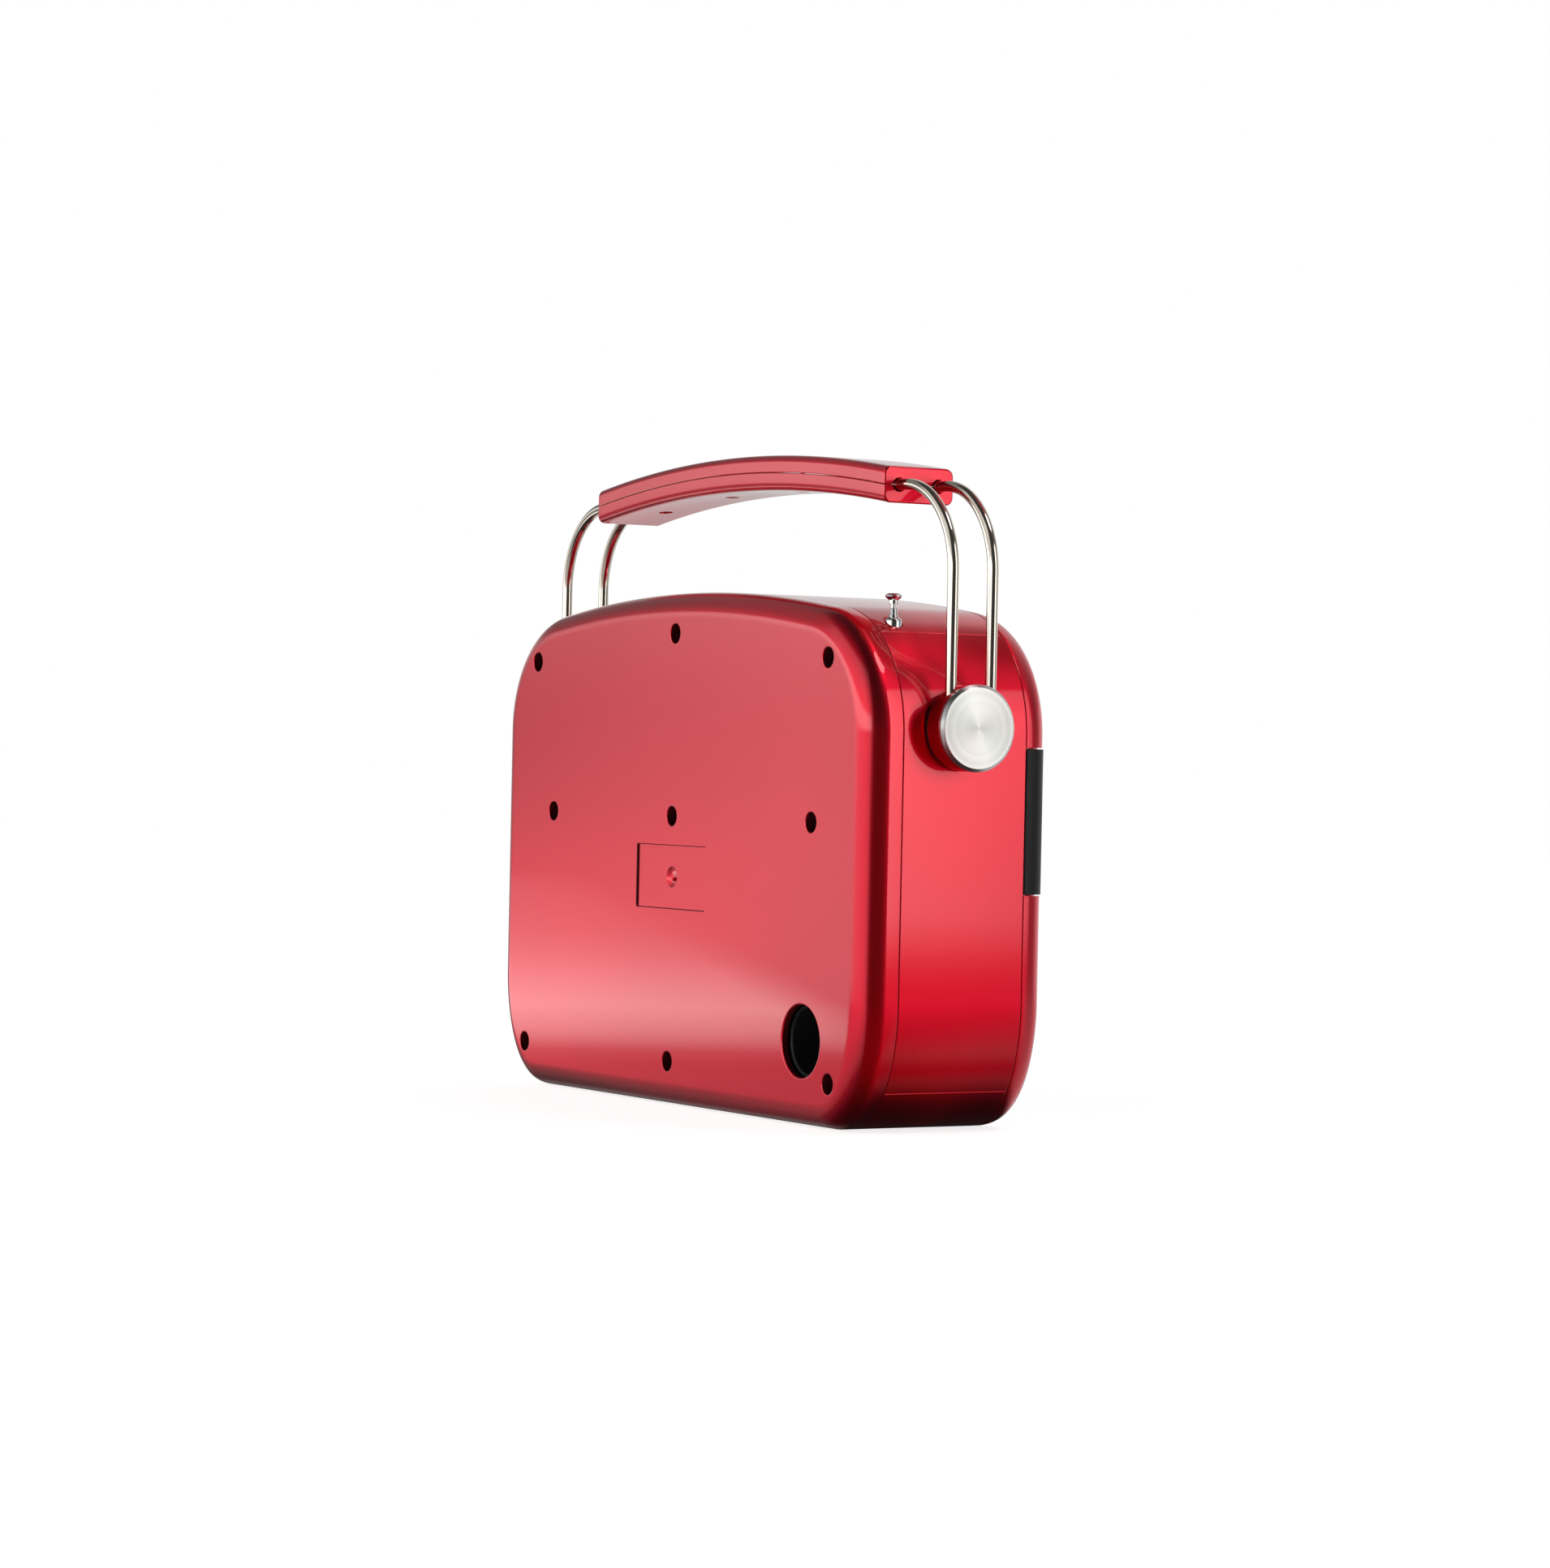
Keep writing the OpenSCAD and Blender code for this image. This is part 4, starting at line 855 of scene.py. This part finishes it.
# ---------------------------------------------------------------- handle
def hub(side):
    word = "right" if side > 0 else "left"
    profile = [(AXIS, BOSS_IN), (HUB_R - 0.7 * MM, BOSS_IN), (HUB_R, BOSS_IN + 0.7 * MM),
               (HUB_R, CAP_IN - 0.3 * MM),
               (HUB_R - 0.3 * MM, CAP_IN), (AXIS, CAP_IN)]
    boss = lathe("boss", [(r, side * x) for r, x in profile], (0, HUB.y, HUB.z), "X", 160)
    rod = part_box("rod_rear_" + word)
    rod_x = (rod[1].x if side > 0 else rod[0].x) - side * 2.5 * MM
    cutters = []
    for y in (-1, 1):
        cutters.append(lathe("socket", [(AXIS, HUB.z + 3 * MM), (2.62 * MM, HUB.z + 3 * MM),
                                        (2.62 * MM, HUB.z + 11 * MM),
                                        (3.1 * MM, HUB.z + 12.5 * MM), (3.1 * MM, HUB.z + 22 * MM),
                                        (AXIS, HUB.z + 22 * MM)],
                             (rod_x, HUB.y + y * 10.2 * MM, 0), "Z", 48))
    boolean(boss, [join("sockets", cutters)])
    finish(weigh(tidy(boss, 30)), f"hub_{word}_boss", "handle", RED, "red_lacquer", "hub_boss_" + word)
    edge = [(AXIS, CAP_IN), (HUB_R, CAP_IN), (HUB_R, CAP_OUT - 1.25 * MM),
            (HUB_R - 0.15 * MM, CAP_OUT - 1.1 * MM),
            (HUB_R - 1.2 * MM, CAP_OUT - 0.12 * MM), (HUB_R - 1.4 * MM, CAP_OUT), (AXIS, CAP_OUT)]
    face = lathe("cap", [(r, side * x) for r, x in edge], (0, HUB.y, HUB.z), "X", 160)
    tidy(face, 12)
    weigh(face)
    metal = spun_metal(f"spun_{word}", "X", (side * CAP_OUT, HUB.y, HUB.z))
    finish(face, f"hub_{word}_cap", "handle", metal, "spun_aluminium", "hub_cap_" + word)
    face.data.materials.append(POLISHED)
    for polygon in face.data.polygons:
        flat = abs(polygon.normal.x) > 0.97 and abs(polygon.center.x) > CAP_OUT - 0.2 * MM
        polygon.material_index = 0 if flat else 1
    washer_r = HUB_R - 0.7 * MM
    ring = [(4.1 * MM, HALF_W), (washer_r - 0.3 * MM, HALF_W), (washer_r, HALF_W + 0.3 * MM),
            (washer_r, BOSS_IN - 0.35 * MM), (washer_r - 0.3 * MM, BOSS_IN - 0.1 * MM),
            (4.1 * MM, BOSS_IN - 0.1 * MM)]
    return lathe("washer", [(r, side * x) for r, x in ring], (0, HUB.y, HUB.z), "X", 128, loop=True)


def rods():
    for side, word in ((-1, "left"), (1, "right")):
        for place in ("rear", "front"):
            node = f"rod_{place}_{word}"
            low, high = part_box(node)
            r = 2.5 * MM
            x_up = side * (max(abs(low.x), abs(high.x)) - r)
            x_in = side * min(abs(low.x), abs(high.x))
            z_top = high.z - r
            bend = 39 * MM
            path = [(x_up, low.z), (x_up, z_top - bend - 20 * MM)]
            path += [(x_up - side * bend * (1 - math.cos(a)), z_top - bend + bend * math.sin(a))
                     for a in spread(0, math.pi / 2, 40)]
            path += [(x_in, z_top)]
            rod = sweep("rod", [(x, (low.y + high.y) / 2, z) for x, z in path], r, 40)
            finish(tidy(rod, 40), f"{node}_bar", "handle", NICKEL, "nickel_rod", node)


def grip():
    half_len = GRIP_HIGH.x
    y_mid = (GRIP_LOW.y + GRIP_HIGH.y) / 2
    w = GRIP_HIGH.y - GRIP_LOW.y
    t, top = 16 * MM, GRIP_HIGH.z
    arch_z = top - ARCH_R
    mid = ARCH_R - t / 2
    corner, lip, gap = 3.5 * MM, 0.9 * MM, 0.12 * MM

    def section(side, inset):
        """Half of the grip's section as (across, height from the seam)."""
        r = max(corner - inset, 0.8 * MM)
        hw, ht = w / 2 - inset, t / 2 - inset
        points = [(-hw + 0.25 * MM, gap), (-hw, gap + 0.3 * MM)]
        points += [(-hw + r - r * math.cos(a), ht - r + r * math.sin(a)) for a in spread(0, math.pi / 2, 8)]
        points += [(hw - r + r * math.sin(a), ht - r + r * math.cos(a)) for a in spread(0, math.pi / 2, 8)]
        points += [(hw, gap + 0.3 * MM), (hw - 0.25 * MM, gap)]
        return [(a, side * b) for a, b in points]

    stations = [(half_len - lip * (1 - math.sin(a)), lip * (1 - math.cos(a)))
                for a in spread(0, math.pi / 2, 4)]
    inner = half_len - lip
    xs = [(-x, i) for x, i in reversed(stations)] + [(x, 0)
                                                     for x in spread(-inner, inner, 60)[1:-1]] + stations
    low_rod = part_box("rod_rear_right")
    rod_z = low_rod[1].z - 2.5 * MM
    for side, word in ((1, "top"), (-1, "bottom")):
        rings = []
        for x, inset in xs:
            rings.append([(x, y_mid + a, arch_z + math.sqrt((mid + b) ** 2 - x * x)) for a,
                          b in section(side, inset)])
        made = loft("grip", rings)
        cutters = []
        for sx in (-1, 1):
            for sy in (-1, 1):
                ring = [(sx * (half_len - 19 * MM), 2.9 * MM), (sx * (half_len - 0.5 * MM), 2.9 * MM),
                        (sx * half_len, 3.3 * MM), (sx * (half_len + 2 * MM), 3.3 * MM)]
                cutters.append(lathe("bore", [(AXIS, ring[0][0])] + [(r, x) for x,
                                                                     r in ring] + [(AXIS, ring[-1][0])],
                                     (0, y_mid + sy * 10.2 * MM, rod_z), "X", 48))
        if side < 0:
            for x in (-96, -32, 32, 96):
                z = arch_z + math.sqrt(mid ** 2 - (x * MM) ** 2)
                cutters.append(lathe("well", [(AXIS, z - 20 * MM), (3.4 * MM, z - 20 * MM),
                                              (3.4 * MM, z - 4 * MM), (AXIS, z - 4 * MM)],
                                     (x * MM, y_mid, 0), "Z", 48))
        boolean(made, [join("bores", cutters)])
        finish(weigh(tidy(made, 30)), f"grip_{word}_half", "handle", RED, "red_lacquer", "grip_" + word)


def antenna():
    low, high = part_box("antenna_tube")
    at = ((low.x + high.x) / 2, (low.y + high.y) / 2, 0)
    r, top = (high.x - low.x) / 2, high.z
    bore = 2.15 * MM
    tube = [(bore, low.z), (r, low.z), (r, top - 1.6 * MM), (r - 0.1 * MM, top - 1.1 * MM),
            (r - 0.4 * MM, top - 0.7 * MM),
            (r - 0.8 * MM, top - 0.3 * MM), (r - 1.2 * MM, top), (bore + 0.1 * MM, top),
            (bore, top - 0.1 * MM)]
    finish(tidy(lathe("tube", tube, at, "Z", 64, loop=True), 30), "antenna_housing", "cabinet", CHROME,
           "chrome_trim",
           "antenna_tube")
    for k, body, bore in ((1, "antenna_lower", 1.7 * MM), (2, "antenna_middle", 1.15 * MM)):
        node = f"antenna_section_{k}"
        low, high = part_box(node)
        r = (high.x - low.x) / 2
        profile = [(bore, low.z), (r, low.z), (r, high.z - 0.3 * MM), (r - 0.1 * MM, high.z - 0.1 * MM),
                   (r - 0.3 * MM, high.z), (bore, high.z)]
        finish(tidy(lathe("section", profile, at, "Z", 64, loop=True), 40), node + "_tube", body, CHROME,
               "chrome_trim", node)
    low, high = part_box("antenna_section_3")
    r = (high.x - low.x) / 2
    rod = [(AXIS, low.z), (r, low.z), (r, high.z), (AXIS, high.z)]
    finish(tidy(lathe("rod", rod, at, "Z", 48), 40), "antenna_section_3_rod", "antenna_upper", CHROME,
           "chrome_trim",
           "antenna_section_3")
    low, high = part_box("antenna_tip")
    z, r = low.z, (high.x - low.x) / 2
    cap = [(1.12 * MM, z), (1.95 * MM, z), (2.1 * MM, z + 0.15 * MM), (2.1 * MM, z + 1.7 * MM),
           (2.3 * MM, z + 1.9 * MM),
           (r - 0.1 * MM, z + 2.95 * MM), (r, z + 3.15 * MM), (r, z + 3.85 * MM),
           (r - 0.1 * MM, z + 4.0 * MM),
           (r - 0.95 * MM, high.z - 0.15 * MM), (r - 1.15 * MM, high.z - 0.05 * MM), (AXIS, high.z),
           (AXIS, z + 0.4 * MM), (1.12 * MM, z + 0.4 * MM)]
    finish(tidy(lathe("tip", cap, at, "Z", 96), 30), "antenna_tip_cap", "antenna_upper", CHROME,
           "chrome_trim", "antenna_tip")


# ---------------------------------------------------------------- stage
AZIMUTH, ELEVATION, ROLL = 239.38, 0.374, 1.178
DISTANCE = 2.0454
TARGET = Vector((-0.0129, HUB.y, BASE + 0.14905))


def camera():
    az, el, roll = (math.radians(v) for v in (AZIMUTH, ELEVATION, ROLL))
    back = Vector((math.sin(az) * math.cos(el), -math.cos(az) * math.cos(el), math.sin(el)))
    right = (-back).cross(Vector((0, 0, 1))).normalized()
    up = right.cross(-back)
    r = math.cos(roll) * right + math.sin(roll) * up
    u = -math.sin(roll) * right + math.cos(roll) * up
    data = bpy.data.cameras.new("camera")
    data.sensor_width = 36
    data.lens = 101.44
    data.clip_end = 20
    obj = bpy.data.objects.new("camera", data)
    obj.matrix_world = Matrix.Translation(TARGET + back * DISTANCE) @ Matrix((r, u,
            back)).transposed().to_4x4()
    bpy.context.scene.collection.objects.link(obj)
    bpy.context.scene.camera = obj


def floor():
    """A pale floor: a wide disc that the light of the room falls on. Glossy parts see the room below it."""
    radius, steps = 6.0, 96
    ring = [(radius * math.cos(2 * math.pi * k / steps), radius * math.sin(2 * math.pi * k / steps), 0)
            for k in range(steps)]
    disc = new_object("floor", ring, [tuple(range(steps))])
    s = Shader("floor_pale", (0.88, 0.88, 0.88), roughness=0.9, Specular_IOR_Level=0.0,
               Emission_Color=(1, 1, 1, 1), Emission_Strength=0.82)
    s.bump(s.noise(120, 3.0), 0.05, 0.0002)
    disc.data.materials.append(s.material)
    disc.visible_glossy = False


def soft_lamp(name, towards, target, distance, size, power):
    """A small lamp that faces target from the direction towards."""
    out = Vector(towards).normalized()
    data = bpy.data.lights.new(name, "AREA")
    data.shape = "ELLIPSE"
    data.size = data.size_y = size
    data.energy = power
    obj = bpy.data.objects.new(name, data)
    obj.visible_camera = False
    obj.location = Vector(target) + out * distance
    obj.rotation_euler = out.to_track_quat("Z", "Y").to_euler()
    bpy.context.scene.collection.objects.link(obj)


def between(x, table):
    """A value read off a short table of (place, value) pairs."""
    if x <= table[0][0]:
        return table[0][1]
    for (x0, v0), (x1, v1) in zip(table, table[1:]):
        if x <= x1:
            return v0 + (v1 - v0) * (x - x0) / (x1 - x0)
    return table[-1][1]


def glowing(name, spots, n, shade, cover):
    """A staged sheet that only reflections see, over a grid of spots with n in a row. shade and cover say how
    bright and how solid it is at each spot."""
    rows = len(spots) // n
    faces = [(k, k + 1, k + 1 + n, k + n) for j in range(rows - 1) for k in range(j * n, j * n + n - 1)]
    obj = new_object(name, spots, faces)
    for label, values in (("glow", shade), ("solid", cover)):
        layer = obj.data.attributes.new(label, "FLOAT", "POINT")
        for k, value in enumerate(values):
            layer.data[k].value = value
    material = bpy.data.materials.new(name)
    material.use_nodes = True
    tree = material.node_tree
    light = tree.nodes.new("ShaderNodeEmission")
    clear = tree.nodes.new("ShaderNodeBsdfTransparent")
    blend = tree.nodes.new("ShaderNodeMixShader")
    for label, socket in (("glow", light.inputs["Strength"]), ("solid", blend.inputs[0])):
        value = tree.nodes.new("ShaderNodeAttribute")
        value.attribute_name = label
        tree.links.new(value.outputs["Fac"], socket)
    tree.links.new(clear.outputs[0], blend.inputs[1])
    tree.links.new(light.outputs[0], blend.inputs[2])
    tree.links.new(blend.outputs[0], tree.nodes["Material Output"].inputs["Surface"])
    tree.nodes.remove(tree.nodes["Principled BSDF"])
    obj.data.materials.append(material)
    obj.visible_camera = obj.visible_shadow = obj.visible_diffuse = False


def card(name, centre, azimuth, across, heights, shade, cover):
    """An upright glowing card: shade(u, h) is its brightness across and up, cover(u, h) how solid it is."""
    a = math.radians(azimuth)
    side = Vector((-math.sin(a), math.cos(a), 0))
    grid = [(u, h) for h in heights for u in across]
    spots = [Vector((*centre, h)) + side * u for u, h in grid]
    glowing(name, spots, len(across), [shade(*spot) for spot in grid], [cover(*spot) for spot in grid])


def shade_below():
    """A dark sheet under the cabinet that only reflections see: painted shadow on the floor beneath it."""
    xs, ys = spread(-0.19, 0.19, 77), spread(-0.07, 0.07, 29)
    spots = [Vector((x, y, 0.0004)) for y in ys for x in xs]
    across, along = [(0.165, 1), (0.18, 0)], [(0.042, 1), (0.056, 0)]
    cover = [between(abs(v.x), across) * between(abs(v.y), along) for v in spots]
    glowing("shade_below", spots, len(xs), [0.015] * len(spots), cover)


# brightness across the side card, and up the back card's band, in metres
SIDE_LIGHT = [(-0.108, 0), (-0.090, 2.3), (-0.04, 1.95), (0.03, 1.4), (0.08, 1.1), (0.14, 1.2),
              (0.24, 1.0), (0.26, 0)]
FLOOR_BAND = [(-0.014, 0.25), (-0.006, 0.4), (0, 1.15), (0.006, 1.75), (0.019, 2.4), (0.033, 1.85),
              (0.047, 1.25), (0.061, 0.87), (0.075, 0.72), (0.09, 0.6), (0.105, 0)]


def side_shade(u, h):
    return between(u, SIDE_LIGHT) * between(h, [(0.010, 0), (0.048, 0.3), (0.074, 1), (0.58, 1), (0.64, 0)])


def side_cover(u, h):
    across, up = [(-0.16, 0), (-0.12, 1), (0.22, 1), (0.25, 0)], [(0.03, 0), (0.05, 1), (0.6, 1), (0.65, 0)]
    return between(u, across) * between(h, up)


def back_cover(u, h):
    across, up = [(-0.22, 0), (-0.15, 1), (0.09, 1), (0.16, 0)], [(-0.014, 0), (-0.008, 1), (0.085, 1),
                                                                  (0.11, 0)]
    return between(u, across) * between(h, up)


def back_shade(u, h):
    """The band of light low on the back. Away from it the card is as bright as the wall behind it."""
    wall = between(27.1 + (u + 0.115) * 22, WALLS)
    if h < 0:
        wall = 0.3
    edge = 0.10 - 1.8 * h
    full = max(between(h, FLOOR_BAND), wall)
    return full + (wall - full) * between(u, [(edge - 0.015, 0), (edge + 0.03, 1)])


def world():
    """A studio with brighter and darker walls, a red reflection near the radio and a dim ceiling. The camera
    itself sees plain white."""
    made = bpy.data.worlds.new("studio")
    bpy.context.scene.world = made
    made.use_nodes = True
    tree = made.node_tree
    link = tree.links.new
    coords = tree.nodes.new("ShaderNodeTexCoord")
    split = tree.nodes.new("ShaderNodeSeparateXYZ")
    link(coords.outputs["Generated"], split.inputs[0])
    turn = tree.nodes.new("ShaderNodeMath")
    turn.operation = "ARCTAN2"
    link(split.outputs["Y"], turn.inputs[0])
    link(split.outputs["X"], turn.inputs[1])
    unit = tree.nodes.new("ShaderNodeMapRange")
    unit.inputs["From Min"].default_value = -math.pi
    unit.inputs["From Max"].default_value = math.pi
    link(turn.outputs[0], unit.inputs["Value"])

    def around(stops):
        """Brightness by azimuth, in degrees from +X towards +Y."""
        ramp = tree.nodes.new("ShaderNodeValToRGB")
        link(unit.outputs["Result"], ramp.inputs["Fac"])
        elements = ramp.color_ramp.elements
        while len(elements) > 1:
            elements.remove(elements[-1])
        for k, (angle, value) in enumerate(stops):
            place = (angle + 180) / 360
            element = elements[0] if k == 0 else elements.new(place)
            element.position = place
            r, g, b = value if isinstance(value, tuple) else (value, value, value)
            element.color = (r / 2, g / 2, b / 2, 1)
        return ramp.outputs["Color"]

    def upward(low, high, below, above):
        """Goes from one set of walls to the next between two elevations in degrees."""
        height = tree.nodes.new("ShaderNodeMapRange")
        height.interpolation_type = "SMOOTHSTEP"
        height.inputs["From Min"].default_value = math.sin(math.radians(low))
        height.inputs["From Max"].default_value = math.sin(math.radians(high))
        link(split.outputs["Z"], height.inputs["Value"])
        blend = tree.nodes.new("ShaderNodeMix")
        blend.data_type = "RGBA"
        link(height.outputs["Result"], blend.inputs["Factor"])
        link(below, blend.inputs["A"])
        link(above, blend.inputs["B"])
        return blend.outputs["Result"]

    ground = around(GROUND)
    walls = around(WALLS)
    raised = around(RAISED)
    ceiling = around(CEILING)
    near = around(NEAR)
    under = around([(-180, 0.02)])  # the floor right below
    upper = around(UPPER)
    room = upward(-56, -44, under, near)
    room = upward(-38, -24, room, ground)
    room = upward(-3.4, -2.8, room, walls)
    room = upward(0.2, 3.8, room, raised)
    room = upward(9, 15, room, upper)
    room = upward(42, 56, room, ceiling)
    studio = tree.nodes["Background"]
    studio.inputs["Strength"].default_value = 2.0
    link(room, studio.inputs["Color"])
    plain = tree.nodes.new("ShaderNodeBackground")
    plain.inputs["Color"].default_value = (1, 1, 1, 1)
    plain.inputs["Strength"].default_value = 1.0
    path = tree.nodes.new("ShaderNodeLightPath")
    pick = tree.nodes.new("ShaderNodeMixShader")
    link(path.outputs["Is Camera Ray"], pick.inputs[0])
    link(studio.outputs[0], pick.inputs[1])
    link(plain.outputs[0], pick.inputs[2])
    link(pick.outputs[0], tree.nodes["World Output"].inputs["Surface"])


# the room's brightness by azimuth in degrees, with red, green and blue where it is tinted: at the radio's
# height (WALLS), then higher (RAISED, UPPER, CEILING) and lower (GROUND, NEAR)
DARK = 0.04
BOUNCE = (0.60, 0.045, 0.065)
RED_FLOOR = (0.25, 0.02, 0.03)
RED_FOOT = (0.40, 0.028, 0.038)
RED_NEAR = (0.24, 0.017, 0.025)
WALLS = [(-180, DARK), (-155, DARK), (-152, 0.15), (-120, 0.15), (-105, 0.22), (-96, 0.65), (-80, 0.8),
         (-60, 0.8), (-20, 0.6), (5, 0.35), (18, 0.27), (27, 0.36), (28.8, 0.54), (31, 0.80), (33, 0.95),
         (48, 1.15), (70, 0.9), (105, 0.7), (124, 0.6), (134, 0.12), (141, DARK), (180, DARK)]
RAISED = [(-180, DARK), (-155, DARK), (-152, 0.15), (-120, 0.15), (-105, 0.22), (-96, 0.65), (-80, 0.8),
          (-60, 0.8), (5, 0.6), (18, 0.45), (27, 0.95), (29, 1.15), (31, 1.5), (35, 1.7), (48, 2.1),
          (70, 2.6), (105, 2.9), (124, 2.3), (134, 0.2), (141, DARK), (180, DARK)]
UPPER = [(-180, DARK), (-155, DARK), (-120, 0.1), (-80, 0.4), (-60, 0.66), (-30, 0.6), (-12, 0.16),
         (36, 0.2), (48, 0.6), (105, 0.8), (128, 0.4), (137, DARK), (180, DARK)]
CEILING = [(-180, 0.03), (-165, 0.05), (-140, (0.27, 0.06, 0.07)), (-75, (0.27, 0.06, 0.07)), (-40, 0.05),
           (180, 0.03)]
GROUND = [(-180, RED_FLOOR), (-155, RED_FLOOR), (-153, BOUNCE), (-146, BOUNCE), (-141, 0.36), (-110, 0.4),
          (-60, 0.6), (-22, 0.6), (-8, 0.15), (20, 0.18), (60, 0.30), (90, 0.4), (125, 0.4),
          (136, RED_FLOOR), (180, RED_FLOOR)]
NEAR = [(-180, RED_NEAR), (-160, RED_NEAR), (-150, RED_FOOT), (-137, RED_FOOT), (-126, 0.2), (-110, 0.4),
        (-60, 0.6), (-22, 0.6), (-8, 0.1), (24, 0.06), (120, 0.05), (150, RED_NEAR), (180, RED_NEAR)]


def lights():
    shade_below()
    card("side_card", (-0.679, -0.318), 212, spread(-0.16, 0.25, 82), spread(0.03, 0.65, 62), side_shade,
         side_cover)
    card("back_card", (0.405, 0.293), 30.6, spread(-0.22, 0.16, 76), spread(-0.014, 0.11, 62), back_shade,
         back_cover)
    upper_rear_corner = (-0.158, 0.039, 0.207)
    soft_lamp("key", (-0.40, -0.375, 0.84), upper_rear_corner, 1.0, 0.36, 1.1)


dress_cad_nodes()
rear_cover()
centre_shell()
front_bezel()
band()
grille()
knobs()
buttons()
scale()
screws()
port()
feet()
battery_door()
washers = [hub(1), hub(-1)]
finish(tidy(join("washers", washers), 40), "pivot_washer_rings", "cabinet", GLOSS, "rubber_black",
       "pivot_washers")
rods()
grip()
antenna()
camera()
floor()
world()
lights()
bpy.context.scene.view_settings.view_transform = "Standard"
